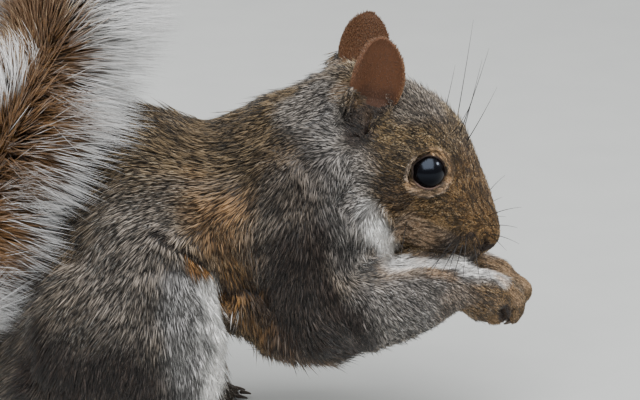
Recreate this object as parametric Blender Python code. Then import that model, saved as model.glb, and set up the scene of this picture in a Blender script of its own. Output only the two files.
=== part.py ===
# An adult eastern grey squirrel, sitting up on its hind feet with both hands at its mouth:
# a still, life-size model. The solids follow the outline out to the tips of the coat.
# Shapes are worked out in millimetres: nose toward +X, its left side toward +Y, ground at
# Z = 0. The finished nodes are in metres, with the origin under the middle of the box.
import math

import bmesh
import bpy
from mathutils import Matrix, Vector

MM = 0.001
GAP = 0.3  # clearance between neighbouring pieces
WELD = 0.04
SIDES = ((-1, "right"), (1, "left"))

BODY_VOXEL = 1.3
DIGIT_VOXEL = 0.6
HEAD_TRIANGLES = 1230
BODY_TRIANGLES = 1190
HAND_TRIANGLES = 370
FOOT_TRIANGLES = 310

# head: stations back from the nose along its own pitched axis
NOSE = Vector((103.0, 0.0, 62.0))
HEAD_BACK = Vector((-0.755, 0.0, 0.656))
HEAD_UP = Vector((0.656, 0.0, 0.755))
HEAD_SECTIONS = (  # distance from the nose, height above the axis, depth below it, half width
    (0.0, 1.6, 7.2, 4.2),
    (2.5, 4.2, 10.4, 6.6),
    (6.0, 6.6, 13.6, 8.6),
    (12.0, 10.6, 17.8, 10.8),
    (20.0, 15.2, 22.5, 13.6),
    (28.0, 19.0, 24.2, 17.0),
    (37.0, 21.6, 24.4, 20.2),
    (45.0, 22.4, 22.6, 21.6),
    (53.0, 21.4, 20.0, 21.2),
    (61.0, 18.5, 18.0, 20.0),
    (70.0, 14.0, 15.0, 17.0),
)
HEAD_BASE = Vector((53.0, 0.0, 120.0))  # the head lies forward of a plane through the nape
HEAD_FORWARD = Vector((0.979, 0.0, 0.205))
HEAD_ROOM = (80.0, 90.0, 160.0)  # length, breadth and height of the space it is cut from

# neck and trunk: upper and lower edge of each section in the middle plane, half width, and
# the height of the widest place as a share of the section
TRUNK_SECTIONS = (
    (76.0, 111.0, 73.0, 66.0, 15.0, 0.50),
    (66.0, 117.0, 69.0, 56.0, 20.0, 0.45),
    (55.0, 120.6, 64.0, 48.0, 25.0, 0.42),
    (41.0, 115.0, 52.0, 41.0, 29.5, 0.42),
    (31.0, 111.2, 38.0, 40.0, 31.5, 0.43),
    (22.0, 106.6, 26.0, 42.0, 32.0, 0.44),
    (14.0, 103.2, 15.0, 43.0, 32.5, 0.45),
    (4.0, 105.6, 6.0, 38.0, 35.0, 0.44),
    (-9.0, 109.6, -6.0, 29.0, 38.0, 0.42),
    (-19.0, 104.6, -16.0, 20.0, 40.0, 0.40),
    (-28.0, 91.0, -27.0, 14.0, 40.0, 0.38),
    (-38.0, 71.5, -36.0, 12.0, 37.0, 0.38),
    (-49.0, 52.5, -44.0, 11.5, 31.0, 0.40),
    (-58.0, 36.0, -50.0, 12.0, 22.0, 0.45),
    (-64.0, 24.0, -56.0, 14.0, 10.0, 0.50),
)
NECK_BASE = Vector((50.0, 0.0, 85.0))
NECK_FORWARD = Vector((0.93, 0.0, 0.37))
NECK_ROOM = (80.0, 90.0, 90.0)

# eyes and ears, given for the left side
EYE = Vector((78.6, 15.6, 89.3))
EYE_RADIUS = 5.9
EAR_ROOT = Vector((60.5, 15.5, 97.0))
EAR_TIP = Vector((65.0, 18.4, 131.4))
EAR_OPENS = Vector((0.26, 0.93, 0.10))
EAR_HALF_WIDTH = 8.4
EAR_THICKNESS = 1.5
EAR_WIDEST = 0.52  # share of its length from the root

# limbs, given for the left side as (x, y, z, radius) down each limb
UPPER_ARM = ((32, 18, 88, 14), (34, 19.5, 74, 16), (38, 20.5, 58, 16.5), (42, 22, 46, 16.5))
ELBOW = ((42, 22.5, 46.5), (23, 13.5, 17))
FOREARM = ((45, 22, 45, 14), (58, 20, 45.5, 13.6), (70, 16.6, 46.6, 12.2),
           (80, 13.4, 48, 10), (88, 11, 48.8, 7.4), (96, 10, 48.6, 6.2))
WRIST = Vector((89.0, 10.8, 48.8))
WRIST_FORWARD = Vector((0.995, -0.10, 0.0))
PALM = ((84, 11.2, 48.8, 6.4), (91, 10.4, 48.2, 7.2), (98, 9.8, 47.0, 7.8),
        (103, 9.3, 46.4, 6.6))
FINGERS = (  # y at the knuckle and at the tip, x and z of the knuckle, bend and tip
    (14.0, 11.8, (101.0, 45.2), (105.0, 41.0), (101.5, 38.4)),
    (11.4, 10.0, (104.0, 47.2), (110.5, 42.6), (109.0, 38.0)),
    (8.4, 7.8, (104.5, 47.8), (111.5, 43.6), (109.8, 38.6)),
    (5.6, 4.6, (103.5, 47.6), (109.0, 44.2), (106.8, 40.0)),
)
FINGER_RADII = (2.7, 2.3, 1.8)

ARM_ROOM = (11.0, 4.0)  # how far outside and how much wider the space the arm is cut from

THIGH = ((-16, 28, 43), (31, 18.5, 33))
THIGH_ROOM = ((-15, 44, 42), (42, 29, 42))
KNEE = ((2, 30, 33), (13.5, 14, 25))
SHANK = ((8, 29, 22, 9), (-10, 28, 17, 9.5), (-28, 27, 14, 8.5), (-40, 26.5, 14, 7.5))
FOOT_TOP = 9.6  # the shank ends above this height and the foot lies below it
FOOT = ((-41, 26.5, 4.3, 5.6), (-30, 27, 4.2, 5.4), (-15, 27.6, 4.2, 5.4), (-3, 28.4, 3.8, 6.0),
        (5, 29.0, 3.4, 6.2))
TOES = (  # y at the root and at the tip, x of the root and of the tip
    (23.4, 21.8, 2.0, 13.0),
    (26.0, 25.2, 4.0, 19.5),
    (28.8, 28.9, 5.0, 21.0),
    (31.6, 32.6, 4.5, 19.5),
    (34.0, 36.2, 2.5, 13.5),
)
TOE_RADII = (3.0, 2.7, 2.4)

# tail: x, z, half width across the hairs, half thickness, how far the flat side is turned
TAIL = (
    (-56, 22, 14, 13, 0),
    (-68, 22, 21, 17, 4),
    (-81, 31, 29, 22, 10),
    (-80, 46, 34, 26, 18),
    (-68, 65, 36, 27, 26),
    (-56, 88, 37, 27, 32),
    (-44, 113, 37, 27, 35),
    (-33, 138, 36, 26, 35),
    (-28, 160, 34, 25, 32),
    (-33, 181, 31, 23, 28),
    (-48, 196, 26, 20, 24),
    (-66, 201, 18, 14, 20),
    (-80, 197, 9, 7, 18),
    (-86, 193, 3, 2.5, 18),
)
TAIL_LENGTHS = 5

TOE_CLAW = 4.0
FINGER_CLAW = 2.8
CLAW_RADIUS = 0.95

SURFACES = {  # by the start of the node's name: material, colour, roughness
    "eye": ("eye", (0.010, 0.008, 0.008), 0.1),
    "claw": ("claw horn", (0.045, 0.032, 0.026), 0.4),
    "ear": ("ear skin and short fur", (0.33, 0.16, 0.09), 0.8),
    "tail": ("tail fur", (0.36, 0.30, 0.25), 0.9),
    "head": ("brown fur", (0.22, 0.15, 0.09), 0.9),
    "hand": ("foot fur", (0.34, 0.26, 0.19), 0.9),
    "foot": ("foot fur", (0.34, 0.26, 0.19), 0.9),
    "": ("grey fur", (0.24, 0.21, 0.18), 0.9),
}


# ---------- mesh helpers ----------

def new_object(name, mesh):
    """Put a mesh into the scene as an object of that name."""
    thing = bpy.data.objects.new(name, mesh)
    bpy.context.collection.objects.link(thing)
    return thing


def from_bmesh(name, bm):
    """Turn an edit mesh into an object, with its faces pointing out."""
    bmesh.ops.recalc_face_normals(bm, faces=bm.faces)
    mesh = bpy.data.meshes.new(name)
    bm.to_mesh(mesh)
    bm.free()
    return new_object(name, mesh)


def to_bmesh(thing):
    bm = bmesh.new()
    bm.from_mesh(thing.data)
    return bm


def discard(*things):
    for thing in things:
        bpy.data.objects.remove(thing, do_unlink=True)


def bake(thing, kind, **settings):
    """Apply one modifier to an object's mesh."""
    modifier = thing.modifiers.new(kind.title(), kind)
    for key, value in settings.items():
        setattr(modifier, key, value)
    evaluated = thing.evaluated_get(bpy.context.evaluated_depsgraph_get())
    thing.data = bpy.data.meshes.new_from_object(evaluated)
    thing.modifiers.clear()


def weld(thing):
    """Close the hair-thin slits that cuts and reductions leave."""
    bm = to_bmesh(thing)
    bmesh.ops.remove_doubles(bm, verts=bm.verts, dist=WELD)
    bmesh.ops.dissolve_degenerate(bm, edges=bm.edges, dist=WELD)
    bm.to_mesh(thing.data)
    bm.free()


def boolean(thing, operation, cutter):
    bake(thing, "BOOLEAN", operation=operation, object=cutter, solver="EXACT")
    weld(thing)


def copy_of(thing, name):
    return new_object(name, thing.data.copy())


def grown(thing, amount):
    """A copy whose surface stands off by the given amount."""
    larger = copy_of(thing, thing.name + "_grown")
    bm = to_bmesh(larger)
    bm.normal_update()
    offsets = [vertex.normal * amount for vertex in bm.verts]
    for vertex, offset in zip(bm.verts, offsets):
        vertex.co += offset
    bm.to_mesh(larger.data)
    bm.free()
    return larger


def keep_largest(thing):
    """Drop the slivers that a cut can leave beside the main body."""
    bm = to_bmesh(thing)
    left = set(bm.faces)
    islands = []
    while left:
        edge_of_search = [left.pop()]
        island = list(edge_of_search)
        while edge_of_search:
            face = edge_of_search.pop()
            for edge in face.edges:
                for other in edge.link_faces:
                    if other in left:
                        left.remove(other)
                        island.append(other)
                        edge_of_search.append(other)
        islands.append(island)
    islands.sort(key=lambda island: sum(face.calc_area() for face in island))
    slivers = [face for island in islands[:-1] for face in island]
    bmesh.ops.delete(bm, geom=slivers, context="FACES")
    bm.to_mesh(thing.data)
    bm.free()


def smooth_stations(stations, steps):
    """Run a smooth curve through rows of numbers, with a few steps between each two."""
    rows = [Vector(station) for station in stations]
    ends = [2 * rows[0] - rows[1]] + rows + [2 * rows[-1] - rows[-2]]
    curve = []
    for index in range(1, len(ends) - 2):
        a, b, c, d = ends[index - 1:index + 3]
        for step in range(steps):
            t = step / steps
            curve.append(0.5 * (2 * b + (c - a) * t + (2 * a - 5 * b + 4 * c - d) * t * t
                                + (3 * b - a - 3 * c + d) * t * t * t))
    return curve + [rows[-1]]


def loft(name, sections, sides=28):
    """A closed skin over oval rings: (centre, across, up, half width, height up, depth down)."""
    bm = bmesh.new()
    rings = []
    for centre, across, up, width, height, depth in sections:
        forward = across.cross(up)
        turn = Matrix((across, up, forward)).transposed().to_4x4()
        circle = bmesh.ops.create_circle(bm, segments=sides, radius=1.0)["verts"]
        for vertex in circle:
            reach = height if vertex.co.y > 0 else depth
            vertex.co = Vector((vertex.co.x * width, vertex.co.y * reach, 0.0))
        bmesh.ops.transform(bm, matrix=Matrix.Translation(centre) @ turn, verts=circle)
        rings.append(circle)
    for first, second in zip(rings, rings[1:]):
        for index in range(sides):
            following = (index + 1) % sides
            bm.faces.new((first[index], first[following], second[following], second[index]))
    bm.faces.new(list(reversed(rings[0])))
    bm.faces.new(rings[-1])
    return from_bmesh(name, bm)


def limb(name, stations, sides=18, steps=3, flatness=1.0):
    """A tube with rounded ends along (x, y, z, radius) stations."""
    rows = smooth_stations(stations, steps)
    points = [row.to_3d() for row in rows]
    start = (points[0] - points[1]).normalized()
    end = (points[-1] - points[-2]).normalized()
    sections = []
    for share in (0.95, 0.7, 0.4):
        radius = rows[0][3] * math.sqrt(1 - share * share)
        sections.append((points[0] + start * rows[0][3] * share, start * -1, radius))
    for index, row in enumerate(rows):
        before = points[max(index - 1, 0)]
        after = points[min(index + 1, len(points) - 1)]
        sections.append((points[index], (after - before).normalized(), row[3]))
    for share in (0.4, 0.7, 0.95):
        radius = rows[-1][3] * math.sqrt(1 - share * share)
        sections.append((points[-1] + end * rows[-1][3] * share, end, radius))
    rings = []
    for centre, along, radius in sections:
        across = Vector((0, 1, 0)) - along * along.y
        across.normalize()
        up = along.cross(across)
        rings.append((centre, across, up, radius, radius * flatness, radius * flatness))
    return loft(name, rings, sides)


def ball(name, centre, radius):
    bm = bmesh.new()
    turn = Matrix.Translation(centre) @ Matrix.Rotation(math.pi / 2, 4, "X")
    bmesh.ops.create_uvsphere(bm, u_segments=14, v_segments=9, radius=radius, matrix=turn)
    return from_bmesh(name, bm)


def ellipsoid(name, centre, half_sizes, subdivisions=4):
    bm = bmesh.new()
    shape = Matrix.Translation(centre) @ Matrix.Diagonal((*half_sizes, 1.0))
    bmesh.ops.create_icosphere(bm, subdivisions=subdivisions, radius=1.0, matrix=shape)
    return from_bmesh(name, bm)


def block(name, centre, forward, sizes):
    """A box whose first axis points forward, its second lying level."""
    forward = forward.normalized()
    across = Vector((0, 0, 1)).cross(forward).normalized()
    up = forward.cross(across)
    turn = Matrix((forward, across, up)).transposed().to_4x4()
    bm = bmesh.new()
    shape = Matrix.Translation(centre) @ turn @ Matrix.Diagonal((*sizes, 1.0))
    bmesh.ops.create_cube(bm, size=1.0, matrix=shape)
    return from_bmesh(name, bm)


def mirrored(points, side):
    """Turn (x, y, ...) rows given for the left side to the wanted side."""
    return [(row[0], row[1] * side, *row[2:]) for row in points]


def to_side(point, side):
    return Vector((point[0], point[1] * side, point[2]))


def merge(name, things, voxel, smoothing, triangles):
    """Grow several forms together into one smooth closed body."""
    bm = bmesh.new()
    for thing in things:
        bm.from_mesh(thing.data)
    discard(*things)
    body = from_bmesh(name, bm)
    bake(body, "REMESH", mode="VOXEL", voxel_size=voxel, adaptivity=0.0)
    bake(body, "SMOOTH", factor=0.5, iterations=smoothing)
    if triangles:
        reduce_to(body, triangles)
    return body


def reduce_to(thing, triangles):
    bake(thing, "TRIANGULATE")
    bake(thing, "DECIMATE", ratio=triangles / len(thing.data.polygons))
    weld(thing)
    keep_largest(thing)


def cut_plane(thing, point, normal):
    """Remove what lies beyond a plane and close the cut with a flat face."""
    bm = to_bmesh(thing)
    geometry = bm.verts[:] + bm.edges[:] + bm.faces[:]
    cut = bmesh.ops.bisect_plane(bm, geom=geometry, plane_co=point, plane_no=normal,
                                 clear_outer=True)
    rim = [item for item in cut["geom_cut"] if isinstance(item, bmesh.types.BMEdge)]
    bmesh.ops.edgeloop_fill(bm, edges=rim)
    bmesh.ops.recalc_face_normals(bm, faces=bm.faces)
    bm.to_mesh(thing.data)
    bm.free()


def take(body, region, name):
    """Part a node off the body along a region's surface, with a thin gap between them."""
    piece = copy_of(body, name)
    boolean(piece, "INTERSECT", region)
    outside = grown(region, GAP)
    boolean(body, "DIFFERENCE", outside)
    discard(region, outside)
    keep_largest(piece)
    return piece


# ---------- forms of the body ----------

def head_point(back, up, across=0.0):
    return NOSE + HEAD_BACK * back + HEAD_UP * up + Vector((0, across, 0))


def head_forms():
    rows = smooth_stations(HEAD_SECTIONS, 3)
    across = Vector((0, 1, 0))
    sections = [(head_point(back, 0), across, HEAD_UP, width, top, depth)
                for back, top, depth, width in rows]
    forms = [loft("skull", sections)]
    forms.append(ellipsoid("nose_end", head_point(2.2, -1.6), (4.0, 4.6, 4.4), 3))
    forms.append(ellipsoid("chin", head_point(7.5, -12.0), (6.5, 5.0, 4.0), 3))
    for side, label in SIDES:
        forms.append(ellipsoid("lip_" + label, head_point(8.5, -7.0, 4.6 * side), (7, 6, 7.5), 3))
        forms.append(ellipsoid("cheek_" + label, head_point(42, -9, 11.5 * side), (14, 10, 13)))
        forms.append(ellipsoid("brow_" + label, head_point(36, 8.6, 10.6 * side), (11, 7, 6.5)))
    return forms


def trunk_forms():
    sections = []
    for row in smooth_stations(TRUNK_SECTIONS, 3):
        top_x, top_z, bottom_x, bottom_z, width, level = row
        top = Vector((top_x, 0, top_z))
        bottom = Vector((bottom_x, 0, bottom_z))
        centre = bottom.lerp(top, level)
        up = (top - bottom).normalized()
        length = (top - bottom).length
        sections.append((centre, Vector((0, 1, 0)), up, width,
                         length * (1 - level), length * level))
    return [loft("barrel", sections, 36)]


def limb_forms():
    forms = []
    for side, label in SIDES:
        forms.append(limb("upper_" + label, mirrored(UPPER_ARM, side)))
        forms.append(ellipsoid("elbow_" + label, to_side(ELBOW[0], side), ELBOW[1]))
        forms.append(ellipsoid("haunch_" + label, to_side(THIGH[0], side), THIGH[1]))
        forms.append(ellipsoid("knee_" + label, to_side(KNEE[0], side), KNEE[1]))
    return forms


def hand(side, label):
    """Palm and four curled fingers, cut off square at the wrist."""
    forms = [limb("palm", mirrored(PALM, side), flatness=1.02)]
    forms.append(ellipsoid("heel_pad", (96.5, 9.0 * side, 42.0), (6.0, 5.0, 4.6), 3))
    forms.append(ellipsoid("thumb", (101.0, 5.0 * side, 43.0), (4.0, 2.4, 2.6), 3))
    tips = []
    for root_y, tip_y, root, bend, tip in FINGERS:
        bend_y = 0.5 * (root_y + tip_y)
        row = ((root[0], root_y * side, root[1], FINGER_RADII[0]),
               (bend[0], bend_y * side, bend[1], FINGER_RADII[1]),
               (tip[0], tip_y * side, tip[1], FINGER_RADII[2]))
        forms.append(limb("finger", row, 12, 4))
        tips.append((Vector(row[2][:3]), Vector(row[2][:3]) - Vector(row[1][:3])))
    node = merge("hand_" + label, forms, DIGIT_VOXEL, 3, HAND_TRIANGLES)
    forward = to_side(WRIST_FORWARD, side)
    cut_plane(node, to_side(WRIST, side) + forward * GAP, -forward)
    return node, tips


def foot(side, label):
    """Long flat foot and five toes, with a flat sole."""
    forms = [limb("sole", mirrored(FOOT, side), flatness=0.85)]
    tips = []
    for root_y, tip_y, root_x, tip_x in TOES:
        row = ((root_x, root_y * side, 3.0, TOE_RADII[0]),
               (0.5 * (root_x + tip_x), 0.5 * (root_y + tip_y) * side, 3.2, TOE_RADII[1]),
               (tip_x, tip_y * side, 2.3, TOE_RADII[2]))
        forms.append(limb("toe", row, 12, 4))
        tips.append((Vector(row[2][:3]), Vector(row[2][:3]) - Vector(row[1][:3])))
    node = merge("foot_" + label, forms, DIGIT_VOXEL, 3, FOOT_TRIANGLES)
    cut_plane(node, Vector((0, 0, 0)), Vector((0, 0, -1)))
    cut_plane(node, Vector((0, 0, FOOT_TOP)), Vector((0, 0, 1)))
    return node, tips


def claw(name, tip, direction, inward, radius, length, droop):
    """A short curved spike just off the end of a digit, bending inward."""
    along = direction.normalized()
    down = (inward - along * inward.dot(along)).normalized()
    across = along.cross(down)
    start = tip + along * (radius + GAP) - down * CLAW_RADIUS * 0.6
    sections = []
    for share in (0.0, 0.5, 1.0):
        centre = start + along * length * share + down * length * droop * share ** 2
        size = CLAW_RADIUS * (1.0 - 0.68 * share)
        sections.append((centre, across, down, size, size * 1.15, size * 1.15))
    return loft(name, sections, 5)


def ear(side, label):
    """A thin cupped leaf, narrow at its root and round at the tip."""
    root = to_side(EAR_ROOT, side)
    upward = to_side(EAR_TIP, side) - root
    height = upward.length
    upward.normalize()
    opens = to_side(EAR_OPENS, side)
    opens = (opens - upward * opens.dot(upward)).normalized()
    across = opens.cross(upward) * side
    bm = bmesh.new()
    bmesh.ops.create_grid(bm, x_segments=6, y_segments=9, size=1.0)
    for vertex in bm.verts:
        along = math.sin(0.25 * math.pi * (vertex.co.y + 1.0))
        share = vertex.co.x
        if along > EAR_WIDEST:
            breadth = math.sqrt(1.0 - 0.99 * ((along - EAR_WIDEST) / (1.0 - EAR_WIDEST)) ** 2)
        else:
            breadth = 1.0 - 0.36 * (1.0 - along / EAR_WIDEST) ** 1.5
        half_width = EAR_HALF_WIDTH * breadth
        cup = (6.5 - 4.0 * along) * share * share + 2.0 * along * along
        vertex.co = (root + upward * height * along + across * half_width * share
                     + opens * (cup - 3.0))
    node = from_bmesh("ear_" + label, bm)
    bake(node, "SOLIDIFY", thickness=EAR_THICKNESS, offset=0.0, use_even_offset=True)
    bake(node, "TRIANGULATE")
    return node


def tail_sections():
    rows = smooth_stations(TAIL, 2)
    points = [Vector((row[0], 0, row[1])) for row in rows]
    sections = []
    for index, row in enumerate(rows):
        before = points[max(index - 1, 0)]
        after = points[min(index + 1, len(points) - 1)]
        along = (after - before).normalized()
        turn = Matrix.Rotation(math.radians(row[4]), 3, along)
        across = turn @ Vector((0, 1, 0))
        up = along.cross(across)
        sections.append((points[index], across, up, row[2], row[3], row[3]))
    return sections


def tail_lengths(against):
    """The bushy tail in a few lengths, the first fitted against the rump."""
    sections = tail_sections()
    count = len(sections) - 1
    nodes = []
    for number in range(TAIL_LENGTHS):
        first = round(number * count / TAIL_LENGTHS)
        last = round((number + 1) * count / TAIL_LENGTHS)
        rows = list(sections[first:last + 1])
        if number:
            centre, across, up, width, height, depth = rows[0]
            along = across.cross(up)
            rows[0] = (centre + along * GAP, across, up, width, height, depth)
        nodes.append(loft("tail_%d" % (number + 1), rows, 12))
    for node in nodes:
        for other in against:
            boolean(node, "DIFFERENCE", other)
        keep_largest(node)
    return nodes


# ---------- parting the body into nodes ----------

def body_and_head():
    """The trunk with its upper limbs, and the head cut off it behind the cheeks."""
    forms = head_forms() + trunk_forms() + limb_forms()
    body = merge("trunk", forms, BODY_VOXEL, 8, 0)
    cut_plane(body, Vector((0, 0, FOOT_TOP + GAP)), Vector((0, 0, -1)))
    middle = HEAD_BASE + HEAD_FORWARD * HEAD_ROOM[0] / 2
    head = take(body, block("region", middle, HEAD_FORWARD, HEAD_ROOM), "head")
    reduce_to(head, HEAD_TRIANGLES)
    reduce_to(body, BODY_TRIANGLES)
    return body, head


def part_body(body):
    """Upper arms, thighs and neck come off the trunk."""
    nodes = []
    for side, label in SIDES:
        arm = [(x, y + ARM_ROOM[0] * side, z, radius + ARM_ROOM[1])
               for x, y, z, radius in mirrored(UPPER_ARM, side)]
        nodes.append(take(body, limb("region", arm, 10, 1), "upper_arm_" + label))
        thigh = ellipsoid("region", to_side(THIGH_ROOM[0], side), THIGH_ROOM[1], 2)
        nodes.append(take(body, thigh, "thigh_" + label))
    middle = NECK_BASE + NECK_FORWARD * NECK_ROOM[0] / 2
    neck = block("region", middle, NECK_FORWARD, NECK_ROOM)
    nodes.append(take(body, neck, "neck"))
    keep_largest(body)
    return nodes


def lower_limb(name, stations, cut_point, cut_normal, against):
    """A limb's lower length, fitted against what it grows from and cut off at its far end."""
    node = limb(name, stations, 12, 1)
    cut_plane(node, cut_point, cut_normal)
    for other in against:
        boolean(node, "DIFFERENCE", other)
    keep_largest(node)
    return node


def build():
    body, head = body_and_head()
    eyes = []
    for side, label in SIDES:
        eyes.append(ball("eye_" + label, to_side(EYE, side), EYE_RADIUS))
        socket = grown(eyes[-1], GAP)
        boolean(head, "DIFFERENCE", socket)
        discard(socket)
    against = (grown(head, GAP), grown(body, GAP))
    nodes = [head, body] + eyes
    for side, label in SIDES:
        forward = to_side(WRIST_FORWARD, side)
        nodes.append(lower_limb("forearm_" + label, mirrored(FOREARM, side),
                                to_side(WRIST, side), forward, against))
        nodes.append(lower_limb("shank_" + label, mirrored(SHANK, side),
                                Vector((0, 0, FOOT_TOP + GAP)), Vector((0, 0, -1)), against))
        palm, finger_tips = hand(side, label)
        sole, toe_tips = foot(side, label)
        nodes += [palm, sole]
        for number, (tip, direction) in enumerate(finger_tips, 1):
            nodes.append(claw("claw_hand_%s_%d" % (label, number), tip,
                              direction + Vector((-3.5, 0, 0)), Vector((-1, 0, 0.5)),
                              FINGER_RADII[2], FINGER_CLAW, 0.3))
        for number, (tip, direction) in enumerate(toe_tips, 1):
            nodes.append(claw("claw_foot_%s_%d" % (label, number), tip,
                              direction, Vector((0, 0, -1)), TOE_RADII[2], TOE_CLAW, 0.12))
        leaf = ear(side, label)
        for other in against:
            boolean(leaf, "DIFFERENCE", other)
        keep_largest(leaf)
        nodes.append(leaf)
    nodes += tail_lengths(against)
    discard(*against)
    nodes += part_body(body)
    return nodes


def material_for(name):
    for start, (label, colour, roughness) in SURFACES.items():
        if name.startswith(start):
            break
    material = bpy.data.materials.get(label) or bpy.data.materials.new(label)
    material.use_nodes = True
    shader = material.node_tree.nodes["Principled BSDF"]
    shader.inputs["Base Color"].default_value = (*colour, 1.0)
    shader.inputs["Roughness"].default_value = roughness
    shader.inputs["Metallic"].default_value = 0.0
    return material


def finish(nodes):
    """Bring the nodes to metres, centre them over the origin and give them their finish."""
    corners = [vertex.co for node in nodes for vertex in node.data.vertices]
    middle_x = 0.5 * (min(c.x for c in corners) + max(c.x for c in corners))
    middle_y = 0.5 * (min(c.y for c in corners) + max(c.y for c in corners))
    place = Matrix.Scale(MM, 4) @ Matrix.Translation((-middle_x, -middle_y, 0.0))
    total = 0
    for node in nodes:
        node.data.transform(place)
        node.data.materials.clear()
        node.data.materials.append(material_for(node.name))
        node.data.shade_smooth()
        node.data.set_sharp_from_angle(angle=math.radians(50))
        total += sum(len(face.vertices) - 2 for face in node.data.polygons)
    print("middle", round(middle_x, 3), round(middle_y, 3), "triangles", total)


for thing in list(bpy.data.objects):
    bpy.data.objects.remove(thing, do_unlink=True)
finish(build())
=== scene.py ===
# An adult eastern grey squirrel, sitting up on its hind feet with both hands at its mouth:
# a still, life-size museum model. One skin lies under a coat of solid tufts.
import math

import bmesh
import bpy
import numpy as np
from mathutils import Matrix, Vector
from mathutils.bvhtree import BVHTree
from mathutils.kdtree import KDTree


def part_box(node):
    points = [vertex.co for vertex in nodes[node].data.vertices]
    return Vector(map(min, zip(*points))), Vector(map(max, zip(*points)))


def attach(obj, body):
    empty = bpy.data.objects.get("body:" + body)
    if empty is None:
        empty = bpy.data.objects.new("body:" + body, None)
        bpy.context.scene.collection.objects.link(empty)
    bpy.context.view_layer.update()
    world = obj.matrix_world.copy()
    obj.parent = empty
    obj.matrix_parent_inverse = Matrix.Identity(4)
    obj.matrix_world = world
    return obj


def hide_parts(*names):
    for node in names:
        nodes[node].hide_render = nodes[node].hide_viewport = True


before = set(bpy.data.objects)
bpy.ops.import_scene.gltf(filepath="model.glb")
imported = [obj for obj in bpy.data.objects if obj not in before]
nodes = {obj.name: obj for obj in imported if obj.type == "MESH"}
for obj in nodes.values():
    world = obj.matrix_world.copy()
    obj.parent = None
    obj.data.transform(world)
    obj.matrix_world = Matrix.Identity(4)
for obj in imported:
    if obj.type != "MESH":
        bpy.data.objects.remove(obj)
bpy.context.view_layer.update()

mm = 0.001
dice = np.random.default_rng(20)

# Everything is shaped on a bench in millimetres, as the solids were drawn: nose toward +X,
# left side toward +Y. toFrame brings it to its place.
eyeShape = {
    "centre": (78.6, 15.6, 89.3),  # of the left eye
    "facing": (0.10, 0.98, 0.14),
    "radius": 5.75,
    "lidRadius": 5.9,  # of the round the lids lie on
    "lidReach": 5.85,  # how far out they follow it
}
eyeLow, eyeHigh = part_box("eye_left")
benchShift = (eyeLow.x + eyeHigh.x) / 2 / mm - eyeShape["centre"][0]
toFrame = Matrix.Scale(mm, 4) @ Matrix.Translation((benchShift, 0, 0))
toBench = toFrame.inverted()
farAway, tiny = 1e9, 1e-9


def linear(hexColour):
    # the sRGB curve undone
    channels = [int(hexColour[start:start + 2], 16) / 255 for start in (1, 3, 5)]
    channels = [c / 12.92 if c <= 0.04045 else ((c + 0.055) / 1.055) ** 2.4 for c in channels]
    return (*channels, 1.0)


def newObject(name, mesh):
    thing = bpy.data.objects.new(name, mesh)
    bpy.context.scene.collection.objects.link(thing)
    return thing


def fromBmesh(name, bm):
    mesh = bpy.data.meshes.new(name)
    bm.to_mesh(mesh)
    bm.free()
    return newObject(name, mesh)


def discard(*things):
    for thing in things:
        bpy.data.objects.remove(thing, do_unlink=True)


def bake(thing, kind, **settings):
    modifier = thing.modifiers.new(kind.title(), kind)
    for key, value in settings.items():
        setattr(modifier, key, value)
    evaluated = thing.evaluated_get(bpy.context.evaluated_depsgraph_get())
    thing.data = bpy.data.meshes.new_from_object(evaluated)
    thing.modifiers.clear()


def vectorsOf(items, key):
    flat = np.empty(len(items) * 3, np.float32)
    items.foreach_get(key, flat)
    return flat.reshape(-1, 3).astype(float)


def pointsOf(mesh):
    return vectorsOf(mesh.vertices, "co")


def normalsOf(mesh):
    return vectorsOf(mesh.vertex_normals, "vector")


def setPoints(mesh, points):
    mesh.vertices.foreach_set("co", points.astype(np.float32).ravel())
    mesh.update()


def setAttribute(mesh, name, values):
    single = values.ndim == 1
    attribute = mesh.attributes.new(name, "FLOAT" if single else "FLOAT_VECTOR", "POINT")
    attribute.data.foreach_set("value" if single else "vector",
                               values.astype(np.float32).ravel())


def unit(rows):
    return rows / np.maximum(np.linalg.norm(rows, axis=-1, keepdims=True), tiny)


def ease(values, start, end):
    share = np.clip((values - start) / (end - start), 0, 1)
    return share * share * (3 - 2 * share)


waveField = {"waves": 7, "lengths": (1.4, 3.4), "height": 2.6}  # lengths in shares of the size


def wander(points, size, seed):
    # a soft random field between about -1 and 1 that changes over the given size
    waves = np.random.default_rng(seed)
    total = np.zeros(len(points))
    for _ in range(waveField["waves"]):
        heading = unit(waves.normal(size=3)) * 2 * math.pi
        total += np.sin(points @ (heading / (size * waves.uniform(*waveField["lengths"])))
                        + waves.uniform(0, 6.3))
    return total / waveField["height"]


def smoothLine(rows, steps):
    rows = np.asarray(rows, float)
    ends = np.vstack((2 * rows[:1] - rows[1:2], rows, 2 * rows[-1:] - rows[-2:-1]))
    curve = []
    for a, b, c, d in zip(ends, ends[1:], ends[2:], ends[3:]):
        for t in np.arange(steps) / steps:
            curve.append(0.5 * (2 * b + (c - a) * t + (2 * a - 5 * b + 4 * c - d) * t * t
                                + (3 * b - a - 3 * c + d) * t ** 3))
    return np.vstack((curve, rows[-1:]))


def lineDistance(points, line):
    line = np.asarray(line, float).reshape(-1, 3)
    if len(line) == 1:
        return np.linalg.norm(points - line[0], axis=1)
    nearest = np.full(len(points), farAway)
    for start, end in zip(line, line[1:]):
        along = end - start
        share = np.clip((points - start) @ along / (along @ along), 0, 1)
        nearest = np.minimum(nearest, np.linalg.norm(points - start - share[:, None] * along,
                                                     axis=1))
    return nearest


def mirroredPoints(points):
    # both sides are alike, so a place on the right is looked up on the left
    return np.abs(points * (0, 1, 0)) + points * (1, 0, 1)


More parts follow.
